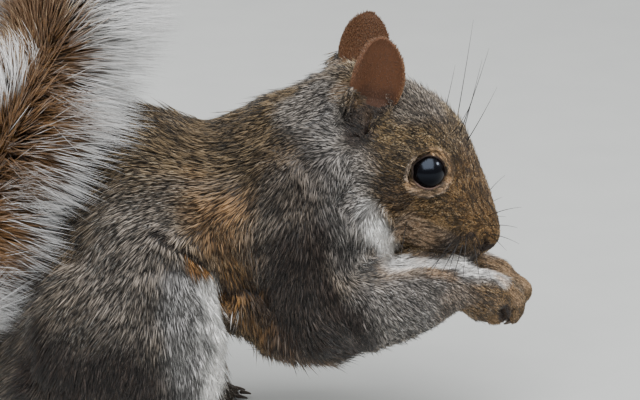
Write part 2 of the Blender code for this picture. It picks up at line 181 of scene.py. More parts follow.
def tube(name, rows, sides, flatness=1.0):
    # a round tube through rows of x, y, z and radius, with rounded ends
    rows = np.asarray(rows, float)
    centres, radii = rows[:, :3], rows[:, 3]
    capLength, capRadius = 0.8, 0.5  # of the radius at that end
    first = centres[0] - unit(centres[1] - centres[0]) * radii[0] * capLength
    last = centres[-1] + unit(centres[-1] - centres[-2]) * radii[-1] * capLength
    centres = np.vstack((first, centres, last))
    radii = np.concatenate(([radii[0] * capRadius], radii, [radii[-1] * capRadius]))
    bm = bmesh.new()
    rings = []
    for index, (centre, radius) in enumerate(zip(centres, radii)):
        along = Vector(centres[min(index + 1, len(centres) - 1)] - centres[max(index - 1, 0)])
        along.normalize()
        across = (Vector((0, 1, 0)) - along * along.y).normalized()
        up = along.cross(across)
        turn = Matrix((across * radius, up * radius * flatness, along)).transposed()
        matrix = Matrix.Translation(centre) @ turn.to_4x4()
        ring = bmesh.ops.create_circle(bm, segments=sides, radius=1.0, matrix=matrix)["verts"]
        rings.append(ring)
    bm.edges.ensure_lookup_table()
    for before, after in zip(rings, rings[1:]):
        edges = {edge for ring in (before, after) for vertex in ring
                 for edge in vertex.link_edges if edge.other_vert(vertex) in ring}
        bmesh.ops.bridge_loops(bm, edges=list(edges))
    for ring in (rings[0], rings[-1]):
        cap = bmesh.ops.contextual_create(bm, geom=ring)["faces"]
        bmesh.ops.poke(bm, faces=cap)
    bmesh.ops.recalc_face_normals(bm, faces=bm.faces)
    return fromBmesh(name, bm)


# Camera: level with the squirrel's back, a little behind its side
cameraValues = {"aim": (47, 0, 76), "azimuth": -6, "elevation": 17.5, "distance": 1250,
                "lens": 225}


def setCamera():
    azimuth, elevation = (math.radians(cameraValues[key]) for key in ("azimuth", "elevation"))
    back = Vector((math.sin(azimuth) * math.cos(elevation),
                   -math.cos(azimuth) * math.cos(elevation), math.sin(elevation)))
    camera = bpy.data.objects.new("camera", bpy.data.cameras.new("camera"))
    camera.data.lens = cameraValues["lens"]
    camera.data.clip_start = 0.05
    camera.location = toFrame @ (Vector(cameraValues["aim"]) + back * cameraValues["distance"])
    camera.rotation_mode = "QUATERNION"
    camera.rotation_quaternion = (-back).to_track_quat("-Z", "Y")
    bpy.context.scene.collection.objects.link(camera)
    bpy.context.scene.camera = camera


setCamera()
print("camera ready")


def addNode(tree, kind, inputs, **settings):
    # an input that is a socket is linked, any other is set, and hex colours are made linear
    node = tree.nodes.new(kind)
    for key, value in settings.items():
        setattr(node, key, value)
    for key, value in inputs.items():
        if isinstance(value, bpy.types.NodeSocket):
            tree.links.new(value, node.inputs[key])
        else:
            node.inputs[key].default_value = linear(value) if isinstance(value, str) else value
    return node.outputs


def newMaterial(name, **values):
    material = bpy.data.materials.new(name)
    material.use_nodes = True
    shader = material.node_tree.nodes["Principled BSDF"]
    for socket, value in values.items():
        shader.inputs[socket.replace("_", " ")].default_value = value
    return material, material.node_tree, shader


# Floor and light: a pale studio floor under soft light from above and ahead
studio = {
    "floor": ("#b4b5b2", "#bdbeba"),
    "grain": 25,  # size of the floor's unevenness
    "sky": "#d9dde2",
    "skyStrength": 0.44,
    "lamps": (  # name, place, size, power and colour of each soft lamp, aimed at the squirrel
        ("overhead", (60, -520, 1080), 1500, 42, "#e9eaec"),
        ("highlight", (820, -20, 600), 110, 2.5, "#ffffff"),
        ("rim", (-500, 700, 620), 420, 5, "#ffffff"),
    ),
}


def setStudio():
    bm = bmesh.new()
    bmesh.ops.create_circle(bm, cap_ends=True, segments=64, radius=6.0)
    bmesh.ops.translate(bm, verts=bm.verts, vec=(0, 0, -0.0002))
    floor = fromBmesh("floor", bm)
    material, tree, shader = newMaterial("painted studio floor", Roughness=0.85)
    # matt roller-painted board: a faint unevenness is all the eye sees
    place = addNode(tree, "ShaderNodeTexCoord", {})["Object"]
    grain = addNode(tree, "ShaderNodeTexNoise",
                    {"Vector": place, "Scale": 1 / (studio["grain"] * mm), "Detail": 4.0})["Fac"]
    paint = addNode(tree, "ShaderNodeMix",
                    {0: grain, 6: studio["floor"][0], 7: studio["floor"][1]}, data_type="RGBA")
    tree.links.new(paint[2], shader.inputs["Base Color"])
    floor.data.materials.append(material)
    world = bpy.data.worlds.new("studio")
    world.use_nodes = True
    background = world.node_tree.nodes["Background"]
    background.inputs["Color"].default_value = linear(studio["sky"])
    background.inputs["Strength"].default_value = studio["skyStrength"]
    bpy.context.scene.world = world
    aim = toFrame @ Vector((20, 0, 90))
    for name, place, size, power, colour in studio["lamps"]:
        light = bpy.data.lights.new(name, "AREA")
        light.size = size * mm
        light.energy = power
        light.color = linear(colour)[:3]
        lamp = bpy.data.objects.new(name, light)
        lamp.location = toFrame @ Vector(place)
        lamp.rotation_mode = "QUATERNION"
        lamp.rotation_quaternion = (aim - lamp.location).to_track_quat("-Z", "Y")
        bpy.context.scene.collection.objects.link(lamp)


setStudio()
print("floor and lights ready")


fingers = (  # x, y, z and radius from knuckle to tip, on the left
    ((101, 14, 45.2, 2.6), (105, 12.9, 41, 2.3), (101.4, 11.8, 38.7, 2.0), (100, 11.4, 38.1, 1.4)),
    ((104, 11.4, 47.2, 2.6), (110.4, 10.7, 42.6, 2.3), (109, 10, 38.4, 2.0),
     (108.5, 9.5, 37.1, 1.4)),
    ((104.5, 8.4, 47.8, 2.6), (111.3, 8.1, 43.6, 2.3), (109.8, 7.8, 39, 2.0),
     (109.3, 7.5, 37.6, 1.4)),
    ((103.5, 5.6, 47.6, 2.5), (109, 5.1, 44.2, 2.2), (106.8, 4.6, 40.4, 2.0),
     (106, 4.3, 39.2, 1.4)),
)
toes = (
    ((2, 23.4, 3.2, 2.7), (7.5, 22.6, 3.4, 2.5), (13.6, 21.6, 2.6, 2.2)),
    ((4, 26, 3.2, 2.7), (11.8, 25.6, 3.4, 2.5), (20.2, 25.2, 2.6, 2.2)),
    ((5, 28.8, 3.2, 2.7), (13, 28.9, 3.4, 2.5), (21.7, 28.9, 2.6, 2.2)),
    ((4.5, 31.6, 3.2, 2.7), (12, 32.1, 3.4, 2.5), (20.2, 32.7, 2.6, 2.2)),
    ((2.5, 34, 3.2, 2.7), (8, 35.1, 3.4, 2.5), (14.1, 36.4, 2.6, 2.2)),
)


# The lie of the coat: strokes of a comb along the left side, and the length of the hair at
# the start and the end of each. The right side mirrors them.
combStrokes = {
    "nose to crown": ([(104, 0, 63), (101, 0, 75), (98, 0, 86), (93, 0, 97), (86, 0, 106),
        (77, 0, 113), (66, 0, 118)], 1.6, 6.5),
    "nape to back": ([(66, 0, 118), (55, 0, 120), (41, 0, 115), (28, 0, 110), (14, 0, 103),
        (4, 0, 105), (-9, 0, 109), (-19, 0, 104)], 5, 9.5),
    "back to tail": ([(-19, 0, 104), (-28, 0, 91), (-38, 0, 71), (-49, 0, 52), (-58, 0, 36)],
        9.5, 12),
    "side of the muzzle": ([(102, 5, 64), (97, 8, 72), (93, 10, 81), (90, 12, 91), (84, 15, 100),
        (77, 17, 104), (68, 17, 108)], 1.4, 5.5),
    "under the eye": ([(98, 8, 66), (91, 12, 71), (84, 16, 77), (76, 19, 80), (68, 21, 83),
        (60, 23, 86), (53, 25, 85)], 1.7, 6),
    "temple": ([(72, 20, 92), (66, 21, 96), (58, 21, 100), (50, 20, 104), (42, 20, 104)], 3.4, 7),
    "whisker pad": ([(92, 10.5, 68), (89, 11, 64), (85, 10.5, 60)], 1.5, 2.2),
    "front of the pad": ([(96, 9, 67.5), (96, 8.6, 63.5), (94, 8, 59.5)], 1.4, 1.8),
    "jaw": ([(97, 6, 58), (89, 9, 60), (80, 13, 64), (72, 17, 69), (66, 20, 72)], 1.3, 3.4),
    "chin": ([(99, 0, 55), (88, 0, 56), (78, 0, 58), (70, 0, 57), (66, 0, 52), (62, 0, 47)],
        1.2, 6),
    "throat": ([(64, 22, 79), (67, 18, 69), (71, 14, 62), (79, 12, 59), (90, 9, 57.5)], 6, 2),
    "side of the neck": ([(55, 22, 100), (53, 25, 90), (51, 26, 80), (49, 27, 70)], 6, 8),
    "shoulder": ([(47, 17, 110), (39, 22, 104), (32, 26, 97), (26, 30, 87), (23, 32, 76)], 7, 10),
    "upper arm": ([(40, 26, 94), (36, 31, 82), (33, 34, 70), (31, 36, 58), (32, 36, 46),
        (36, 33, 36), (43, 28, 31)], 9, 8),
    "front of the arm": ([(50, 27, 84), (51, 30, 72), (50, 32, 60), (50, 34, 50)], 8, 7),
    "elbow to wrist": ([(46, 35, 50), (52, 36.5, 43), (58, 35, 37), (65, 29, 33)], 7.5, 5),
    "forearm by the elbow": ([(55, 31, 57), (58, 34, 49), (61, 34, 41), (63, 31, 34)], 7, 5.5),
    "forearm": ([(63, 27, 57), (67, 30, 50), (71, 27, 43), (74, 22, 37)], 6, 4.5),
    "end of the forearm": ([(72, 23, 57), (77, 25, 51), (82, 21, 45), (86, 16, 40)], 4.5, 3),
    "top of the forearm": ([(56, 22, 59), (66, 18, 59), (76, 14, 58), (86, 11, 57), (96, 9, 55)],
        5, 1.8),
    "under the forearm": ([(48, 26, 31), (58, 23, 32), (68, 19, 36), (78, 15, 39), (88, 10, 42)],
        6, 2.2),
    "back of the hand": ([(94, 12, 56), (101, 12, 54), (107, 12, 49), (111, 11, 44),
        (110.5, 10, 39)], 2.8, 1.6),
    "side of the hand": ([(88, 17.5, 53), (94, 17.5, 49), (100, 16.5, 45), (105, 14.5, 40)],
        3.8, 2.4),
    "heel of the hand": ([(88, 15, 45), (93, 14.5, 42), (98, 13, 40), (101, 11.5, 38)], 3.4, 2),
    "upper flank": ([(30, 22, 104), (18, 22, 97), (8, 22, 97), (-3, 22, 99), (-14, 24, 97),
        (-24, 24, 87), (-33, 22, 73), (-43, 19, 55), (-51, 14, 40)], 9, 12),
    "flank": ([(24, 30, 88), (14, 30, 84), (4, 31, 85), (-6, 33, 84), (-16, 36, 78),
        (-24, 38, 68), (-31, 40, 56), (-36, 40, 44), (-40, 36, 30)], 9, 9.5),
    "thigh": ([(-2, 37, 74), (-6, 42, 64), (-8, 45, 52), (-9, 46, 40), (-10, 45, 28),
        (-12, 41, 16)], 9, 7),
    "front of the thigh": ([(3, 36, 72), (8, 38, 62), (12, 39, 52), (14, 40, 42), (14, 40, 32),
        (12, 38, 22), (6, 35, 13)], 8, 5.5),
    "lower flank": ([(14, 30, 84), (16, 32, 72), (19, 29, 60), (20, 25, 50), (22, 20, 43)], 9, 11),
    "side of the belly": ([(13, 27, 55), (16, 26.5, 50), (20, 25, 45), (25, 22, 41)], 5.5, 7),
    "belly": ([(20, 13, 44), (20, 6, 42)], 7, 8),
    "breast": ([(60, 0, 46), (48, 0, 43), (34, 0, 41), (20, 0, 42), (4, 0, 38), (-10, 0, 28),
        (-22, 0, 18), (-36, 0, 12), (-50, 0, 12)], 9.5, 8),
    "side of the breast": ([(60, 12, 54), (52, 14, 46), (44, 13, 42), (34, 14, 42), (24, 14, 43)],
        9, 9),
    "inside of the thigh": ([(10, 18, 50), (4, 16, 36), (-2, 14, 24), (-10, 14, 16)], 7, 6),
    "shank": ([(4, 36, 17), (-10, 37, 17), (-24, 35, 15), (-38, 33, 13), (-46, 29, 12)], 5, 3.2),
    "top of the foot": ([(-44, 27, 9), (-30, 27, 9), (-16, 28, 9), (-4, 28, 8.5), (6, 29, 7),
        (16, 29, 5.5), (21, 29, 4)], 2.8, 1.2),
    "side of the foot": ([(-42, 34, 4), (-28, 34, 4), (-12, 34, 4), (0, 36, 4), (10, 37, 3.5)],
        2.4, 1.2),
    "side of the rump": ([(-44, 30, 58), (-50, 26, 44), (-54, 20, 32), (-58, 14, 24)], 11, 12),
}
fingerGaps = [[tuple(np.add(a[:3], b[:3]) / 2) for a, b in zip(one, other)]
              for one, other in zip(fingers, fingers[1:])]
earFoot = [(59.6, 16.5, 114.3), (61.8, 15.5, 112.8), (63.9, 15.3, 112.2), (66.2, 15.6, 112.4)]
belowEar = [(58.6, 17.2, 110), (61, 18, 108.6), (64.6, 16.8, 109.6)]
eyeRing = [(79.2 + 6.9 * math.cos(turn), 18.3 - 2.6 * math.cos(turn), 89.3 + 6.9 * math.sin(turn))
           for turn in np.linspace(0, 2 * math.pi, 17)]
earSlit = [(62.2, 17.2, 112), (61.2, 18.6, 107.5), (60, 19.6, 103)]
earCanal = [(56.6, 20.6, 102.2), (55.2, 20.6, 102.8)]
thighEdge = [(-6, 35.5, 79), (0, 35, 75), (7, 34, 69.5), (11, 32.5, 65), (14, 30, 59.5),
             (16, 26, 54)]
shortHair = (  # lines the hair is short at: to here, full again from there, and its share
    (earSlit, 0.8, 4.5, 0.28),
    (earCanal, 0.8, 3.5, 0.3),
    (eyeRing, 0.5, 3.0, 0.5),
    *(([place[:3] for place in finger], 2.5, 4.0, 0.6) for finger in fingers),
    (thighEdge, 1.5, 4.5, 0.6),
    (earFoot, 2, 4, 0.4),
    (belowEar, 2, 4.5, 0.35),
)
ruffledHair = (  # lines the hair stands up round, how far full, how far it fades, and by how much
    ([(88, 0, 104), (80, 0, 111), (72, 0, 116)], 7, 10, 16),
    ([(27, 27, 42), (34, 26, 40), (48, 22, 38)], 3, 6, 18),
    ([(13, 32, 56), (14.5, 34, 44), (13, 38, 32)], 2, 5, 14),
)
# Markings of the left side, painted over the grey on skin and coat alike, white and cream last;
# some are painted shade or painted highlight, as noted at each: for each colour the strength,
# how far from the line it stays full, how far it fades beyond, and the line
padStreaks = [[(91 + 0.25 * (end[0] - 91), 10.8, 68 + 0.25 * (end[2] - 68)), end]
              for end in ((78, 12.5, 64.5), (80.5, 10.5, 61.5), (84, 9, 60), (87.3, 8.8, 59.3),
                          (90.3, 9.6, 59.2), (93.3, 9.6, 60), (96, 9.2, 61.4), (98, 8.2, 63.6))]
markingsAndPaintedLight = {
    "brown": (
        (0.95, 22, 12, [(98, 0, 66), (84, 0, 92), (72, 0, 104)]),
        (0.9, 5, 5, [(70, 19, 72), (78, 13, 65), (90, 10, 61)]),
        (1.0, 6, 6, [(61, 21, 100), (65.5, 21.5, 92), (68, 21.5, 84)]),
        (1.0, 6, 5, [(56, 16, 113), (57, 20, 104)]),
        (0.8, 22, 14, [(20, 0, 102), (-4, 0, 104), (-30, 0, 84)]),
        (0.6, 7, 7, [(13, 32, 74), (12, 29, 85)]),
        (0.9, 8, 6, [(16, 27, 62), (20, 24, 50), (32, 24, 40)]),
        (0.7, 6, 6, [(88, 19, 45), (104, 15, 43), (110, 11, 42)]),
    ),
    "silver": (
        (0.6, 6, 8, [(44, 11, 112), (48, 20, 103), (51, 25, 92), (54, 27, 70)]),
        (0.15, 10, 12, [(-14, 44, 56), (-20, 33, 80)]),
        (1.0, 8, 8, [(5, 41, 56), (6, 42, 44), (5, 42, 30)]),
        (0.55, 8, 6, [(60, 31, 46), (84, 20, 48)]),
        (0.8, 3, 4, [(90, 14, 56), (100, 12, 54)]),
        (0.42, 6, 8, [(77, 8, 111), (68, 8, 115)]),
        (0.5, 3, 4, [(71, 17.5, 71), (79, 13.5, 65), (84, 12, 62.5)]),
    ),
    "warm": (
        (0.38, 3, 9, [(11, 31, 88), (15, 32, 74), (18, 29, 60), (24, 28, 48)]),
        (0.5, 4, 5, [(17, 27, 60), (22, 23, 49)]),
        (0.45, 3, 5, [(24, 30, 48), (32, 32, 38), (44, 26, 30)]),
        (0.8, 2.2, 2.2, [(5.2, 35.3, 67.3), (9.2, 34.2, 63.6), (12, 33, 60.5)]),
        (0.22, 6, 8, [(100, 4, 68), (96, 8, 76), (91, 10, 86)]),
        (0.12, 6, 10, [(74, 19, 80), (80, 16, 76), (88, 12, 70)]),
        (0.3, 1.5, 2.5, [(80, 17, 57), (87, 16, 55)]),
        (0.15, 6, 6, [(88, 19, 45), (104, 15, 43), (110, 11, 42)]),
        (0.8, 9, 4, [(-60, 0, 25), (-80, 0, 36), (-68, 0, 66), (-44, 0, 113), (-28, 0, 160),
            (-62, 0, 199)]),
    ),
    "dark": (
        (0.45, 6, 5, [(82, 10, 105), (90, 9, 96), (98, 5, 80)]),
        (0.15, 4, 5, [(84, 15, 80), (89, 13, 77)]),
        # painted shadow along the jaw's lower edge, where it meets the throat
        (0.45, 1, 2.2, [(74, 14.5, 62), (82, 11.8, 60), (90, 9.3, 58.8)]),
        (0.9, 0.5, 1.2, [(-10.7, 36.6, 75.7), (-8.8, 37.3, 72)]),
        (0.7, 0.4, 1.0, [(-4.1, 34.4, 80), (-3, 34.9, 77.8)]),
        (0.45, 8, 10, [(36, 28, 96), (38, 33, 82)]),
        (0.92, 9, 12, [(37, 36, 67), (36, 36, 56), (42, 37, 44), (47, 35, 41)]),
        # partly the dark fur low on the thigh and rump, partly painted shade under them
        (0.95, 9, 16, [(-46, 36, 34), (-22, 45, 31), (-8, 44, 16)]),
        (0.25, 8, 10, [(16, 8, 102), (2, 0, 108)]),
        # painted shadow along the edge where the thigh overlaps the flank
        (0.9, 0.7, 1.4, thighEdge),
        (0.2, 10, 10, [(-17, 45, 56)]),
        (0.68, 2.5, 4.5, [(65.5, 22, 86), (70, 21, 81)]),
        (0.38, 4, 5, [(65.5, 21.5, 95), (66, 21.5, 88)]),
        (0.42, 4, 4, [(84, 10.5, 62.5), (91, 10, 62)]),
        (0.85, 3.4, 3, [(56.5, 18.5, 111), (56, 20.5, 104)]),
        (0.85, 1.6, 2.4, belowEar),
        # painted shade in the ear's slit and canal
        (1.0, 1.2, 1.8, earSlit),
        (0.9, 1.0, 1.4, earCanal),
        (0.9, 0.9, 1.2, [(98.6, 7, 61.5), (97, 7.2, 58.5)]),
        # painted shade in the curl of the finger
        (0.9, 1.6, 1.6, [(104.8, 15.2, 42), (105.2, 14.2, 40)]),
        *((1.0, 0.3, 0.5, streak) for streak in padStreaks),
        # painted shade between the fingers
        *((0.8, 0.3, 0.9, gap) for gap in fingerGaps),
    ),
    "white": (
        (0.45, 2.2, 4, [(59.5, 24.5, 79), (62.5, 22.8, 72.5)]),
        (1.0, 2.8, 3, [(62.8, 22.6, 72), (66, 19, 66), (68.5, 16, 61), (71.5, 14.2, 59.6)]),
        (1.0, 1.5, 1.6, [(66, 14.5, 60), (75, 12.2, 58.4), (84, 11, 57.4), (90, 8.5, 56.6)]),
        (0.9, 3.5, 2.0, [(66, 0, 55), (80, 0, 53.5), (92, 0, 52)]),
        (1.0, 9, 6, [(62, 0, 47), (44, 0, 40), (20, 0, 38), (0, 0, 34), (-20, 0, 18)]),
        (1.0, 3.5, 2.4, [(10.5, 33, 58.5), (12, 32.5, 54), (13, 33, 49), (13.2, 35, 41),
            (12.5, 38, 33), (10, 40.5, 26)]),
        (0.5, 2.5, 4.5, [(9, 39, 46), (10, 40, 34)]),
        (0.12, 5, 6, [(5, 41, 54), (5, 42, 30)]),
        # painted highlight over the top of the wrist and the knuckles
        (0.8, 1.5, 2.5, [(92, 12.5, 56), (100, 11.5, 54), (104, 12.5, 51.8)]),
        (0.15, 2, 3, [(64, 19, 59), (76, 17, 57.6)]),
        (0.45, 0.6, 1.5, eyeRing[10:15]),
        (0.3, 0.6, 1.5, eyeRing[6:9]),
    ),
    "cream": (
        (0.3, 2, 3, [(64, 19, 59), (76, 17, 57.6), (86, 15, 56)]),
        # painted highlight along the knuckles' front edge
        (0.55, 0.9, 1.6, [(102, 12.4, 52.6), (107.4, 12.6, 49), (110.2, 12.4, 45)]),
        (0.5, 2.2, 2.5, [(100, 6, 54), (106, 6, 51.5), (111, 6, 47)]),
        (0.7, 3, 4, [(54, 13, 114)]),
        # painted light that lifts the shaded lower cheek along the jaw
        (0.5, 3, 5, [(72, 17, 70), (79, 13.5, 65)]),
        (0.85, 0.8, 1.3, eyeRing[:5]),
        (0.6, 0.5, 1.2, eyeRing[4:9]),
        (0.85, 0.6, 1.5, eyeRing[9:]),
    ),
}


combing = {
    "batch": 4096,  # points looked at together
    "turnedAway": 0.02,  # least weight of a stroke on the other side of the body
    "facingPower": 4,
    "softness": 4.0,  # square millimetres
    "nearness": 2.5,  # how fast a stroke's say falls with its distance
    "ragged": 0.22,  # how far a marking's edge strays, in shares of its fade
}


def sampleStrokes(surface):
    # points every few millimetres along the strokes, with the way they run, their hair's
    # length and the way the surface faces there
    rows = []
    for line, startLength, endLength in combStrokes.values():
        curve = smoothLine(line, 4)
        ways = unit(np.gradient(curve, axis=0))
        for share, point, way in zip(np.linspace(0, 1, len(curve)), curve, ways):
            found, normal, _, _ = surface.find_nearest(Vector(point))
            length = startLength + (endLength - startLength) * share
            rows.append((*point, *way, *normal, length))
    left = np.array(rows)
    right = left * (1, -1, 1, 1, -1, 1, 1, -1, 1, 1)
    return np.vstack((left, right))


def combed(points, normals, samples):
    # the way the hair lies and its length at each point, from the strokes round about
    ways = np.empty((len(points), 3))
    lengths = np.empty(len(points))
    places, facing = samples[:, :3], samples[:, 6:9]
    for start in range(0, len(points), combing["batch"]):
        part = slice(start, start + combing["batch"])
        gap = ((points[part] ** 2).sum(1)[:, None] + (places ** 2).sum(1)
               - 2 * points[part] @ places.T)
        alike = 0.5 + 0.5 * normals[part] @ facing.T
        weights = (np.maximum(alike, combing["turnedAway"]) ** combing["facingPower"]
                   / (np.maximum(gap, 0) + combing["softness"]) ** combing["nearness"])
        weights /= weights.sum(1, keepdims=True)
        ways[part] = weights @ samples[:, 3:6]
        lengths[part] = weights @ samples[:, 9]
    flat = ways - normals * (ways * normals).sum(1, keepdims=True)
    left = mirroredPoints(points)
    for line, shortest, full, share in shortHair:
        lengths *= share + (1 - share) * ease(lineDistance(left, line), shortest, full)
    return unit(flat), lengths


def painted(points):
    places = mirroredPoints(points)
    paints = {kind: np.zeros(len(points)) for kind in markingsAndPaintedLight}
    ragged = wander(points, 7, 3) * combing["ragged"]
    for kind, rows in markingsAndPaintedLight.items():
        for strength, reach, fade, line in rows:
            share = 1 - ease(lineDistance(places, line) + ragged * fade, reach, reach + fade)
            paints[kind] = np.maximum(paints[kind], strength * share)
            for under in ("brown", "warm", "dark") if kind in ("white", "cream") else ():
                paints[under] = paints[under] * (1 - strength * share)
    layers = np.stack(list(paints.values()), 1)
    return layers[:, :3], layers[:, 3:]


# Skin: the solids grown together, drawn in by the depth of the coat
skinShape = {
    "growth": 0.35,  # closes the thin gaps between the solids
    "outlineVoxel": 0.95,
    "tailVoxel": 1.6,
    "skinVoxel": 0.85,
    "smoothing": {"factor": 0.5, "iterations": 3},
    "coatDepth": 0.44,  # share of the hair's length beyond 1 mm between skin and outline
    "tailCore": [(-48, 0, 30, 7.5), (-60, 0, 25, 6.5), (-72, 0, 27, 6.2), (-80, 0, 36, 6),
                 (-78, 0, 50, 5.8), (-68, 0, 66, 5.5), (-56, 0, 88, 5.2), (-44, 0, 113, 4.8),
                 (-33, 0, 138, 4.4), (-28, 0, 160, 4), (-33, 0, 180, 3.4), (-47, 0, 194, 2.7),
                 (-62, 0, 199, 2)],
    "throatFlatness": 0.38,
    "throat": [(60, 0, 56, 12), (71, 0, 56.6, 12.5), (83, 0, 56, 10), (92, 0, 55.2, 6)],
    "belly": ([(8, 19, 51, 6.5), (18, 19.5, 49, 7.5), (28, 20.5, 47, 8), (36, 20.5, 45.5, 8)],
              [(12, 22, 57, 4.5), (18, 22, 54, 5), (27, 22.5, 50.5, 6)]),
}

fleshNodes = [name for name in nodes if not name.startswith(("eye", "claw", "tail", "ear"))]
tailNodes = [name for name in nodes if name.startswith("tail")]
earNodes = ["ear_right", "ear_left"]


def benchCopy(names, growth):
    joined = bmesh.new()
    for name in names:
        part = bmesh.new()
        part.from_mesh(nodes[name].data)
        bmesh.ops.transform(part, matrix=toBench, verts=part.verts)
        bmesh.ops.remove_doubles(part, verts=part.verts, dist=0.01)
        part.normal_update()
        for vertex, normal in [(vertex, vertex.normal.copy()) for vertex in part.verts]:
            vertex.co += normal * growth
        loose = bpy.data.meshes.new("loose")
        part.to_mesh(loose)
        part.free()
        joined.from_mesh(loose)
        bpy.data.meshes.remove(loose)
    return fromBmesh("grown", joined)


def join(things):
    joined = bmesh.new()
    for thing in things:
        joined.from_mesh(thing.data)
    discard(*things)
    return fromBmesh("joined", joined)


def surfaceOf(thing):
    bm = bmesh.new()
    bm.from_mesh(thing.data)
    surface = BVHTree.FromBMesh(bm)
    bm.free()
    return surface


def coatDepth(lengths):
    return np.maximum(lengths - 1, 0) * skinShape["coatDepth"]


outline = benchCopy(fleshNodes + ["eye_right", "eye_left"], skinShape["growth"])
bake(outline, "REMESH", mode="VOXEL", voxel_size=skinShape["outlineVoxel"])
bake(outline, "SMOOTH", **skinShape["smoothing"])
outlineSurface = surfaceOf(outline)
strokeSamples = sampleStrokes(outlineSurface)
tailOutline = benchCopy(tailNodes, skinShape["growth"])
bake(tailOutline, "REMESH", mode="VOXEL", voxel_size=skinShape["tailVoxel"])
tailSurface = surfaceOf(tailOutline)
discard(tailOutline)
print("outline ready", len(outline.data.vertices))

skin = outline
skinPoints, skinNormals = pointsOf(skin.data), normalsOf(skin.data)
lie, hairLength = combed(skinPoints, skinNormals, strokeSamples)
drawnIn = coatDepth(hairLength) + skinShape["growth"]
setPoints(skin.data, skinPoints - skinNormals * drawnIn[:, None])
digits = [tube("digit", smoothLine(np.array(digit) * (1, side, 1, 1), 4), 10)
          for digit in fingers + toes for side in (-1, 1)]
skin = join([skin, tube("tailCore", smoothLine(skinShape["tailCore"], 3), 14),
             tube("throat", smoothLine(skinShape["throat"], 3), 16,
                  skinShape["throatFlatness"]), *digits,
             *(tube("belly", np.array(line) * (1, side, 1, 1), 12)
               for line in skinShape["belly"] for side in (-1, 1))])
bake(skin, "REMESH", mode="VOXEL", voxel_size=skinShape["skinVoxel"])
bake(skin, "SMOOTH", **skinShape["smoothing"])
print("skin ready", len(skin.data.vertices))


# Ears: a thin cupped leaf with a rolled rim, broad at its root
earShape = {
    "root": (58.0, 15.4, 98.5),
    "tip": (64.5, 15.6, 132),
    "opens": (0.26, 0.93, 0.10),
    "halfWidth": 8.1,
    "thickness": 1.1,
    "widest": 0.6,  # share of its height
    "rootBreadth": 0.4,
    "cup": 4.4,
    "cupFull": 0.45,  # share of its height the cup has risen by
    "rim": 0.9,
    "sideRoll": (0.8, 0.2),  # share of its breadth where the rim begins to roll, and how much
    "tipRoll": (0.93, 0.07),  # the same, of its height
    "leanOut": 1.6,  # of the tip
}


def earBreadth(share):
    # half the ear's breadth at a share of its height
    widest = earShape["widest"]
    above = np.clip((share - widest) / (1 - widest), 0, 1)
    below = np.clip(1 - share / widest, 0, 1)
    return (earShape["halfWidth"] * (1 - 0.997 * above ** 2) ** 0.6
            * (1 - (1 - earShape["rootBreadth"]) * below ** 1.5))


def makeEar(side):
    mirror = np.array((1, side, 1))
    root = Vector(earShape["root"] * mirror)
    upward = Vector(earShape["tip"] * mirror) - root
    height = upward.length
    upward.normalize()
    opens = Vector(earShape["opens"] * mirror)
    opens = (opens - upward * opens.dot(upward)).normalized()
    across = opens.cross(upward) * side
    bm = bmesh.new()
    bmesh.ops.create_grid(bm, x_segments=26, y_segments=34, size=1.0)
    for vertex in bm.verts:
        along = math.sin(0.25 * math.pi * (vertex.co.y + 1.0))
        share = math.sin(0.5 * math.pi * vertex.co.x)
        halfWidth = earBreadth(along)
        breadth = halfWidth / earShape["halfWidth"]
        risen = min(1.0, along / earShape["cupFull"])
        cup = earShape["cup"] * (breadth * share) ** 2 * (0.35 + 0.65 * risen)
        start, span = earShape["sideRoll"]
        sideRoll = earShape["rim"] * max(0.0, abs(share) - start) / span * breadth
        start, span = earShape["tipRoll"]
        tipRoll = earShape["rim"] * max(0.0, along - start) / span
        leanOut = earShape["leanOut"]
        vertex.co = (root + upward * height * along
                     + across * halfWidth * share
                     + opens * (cup + leanOut * along * along - leanOut
                                + 0.5 * max(sideRoll, tipRoll)))
    bmesh.ops.recalc_face_normals(bm, faces=bm.faces)
    bmesh.ops.solidify(bm, geom=bm.faces[:], thickness=earShape["thickness"])
    bmesh.ops.recalc_face_normals(bm, faces=bm.faces)
    ear = fromBmesh("ear", bm)
    bake(ear, "SMOOTH", factor=0.5, iterations=2)
    return ear


# The right hand is held a little further back than the left: what lies ahead of the wrist and
# below the mouth shifts on either side of a narrow middle
handPose = {"wrist": 97, "mouth": 55, "blend": 8, "middle": 3, "forward": 0.14, "down": 0.1}


def posed(points):
    reach = (np.maximum(points[:, 0] - handPose["wrist"], 0)
             * ease(handPose["mouth"] - points[:, 2], 0, handPose["blend"]))
    turned = reach * np.clip(points[:, 1] / handPose["middle"], -1, 1)
    return points + np.stack([handPose["forward"] * turned, 0 * turned,
                              -handPose["down"] * np.maximum(turned, 0)], 1)


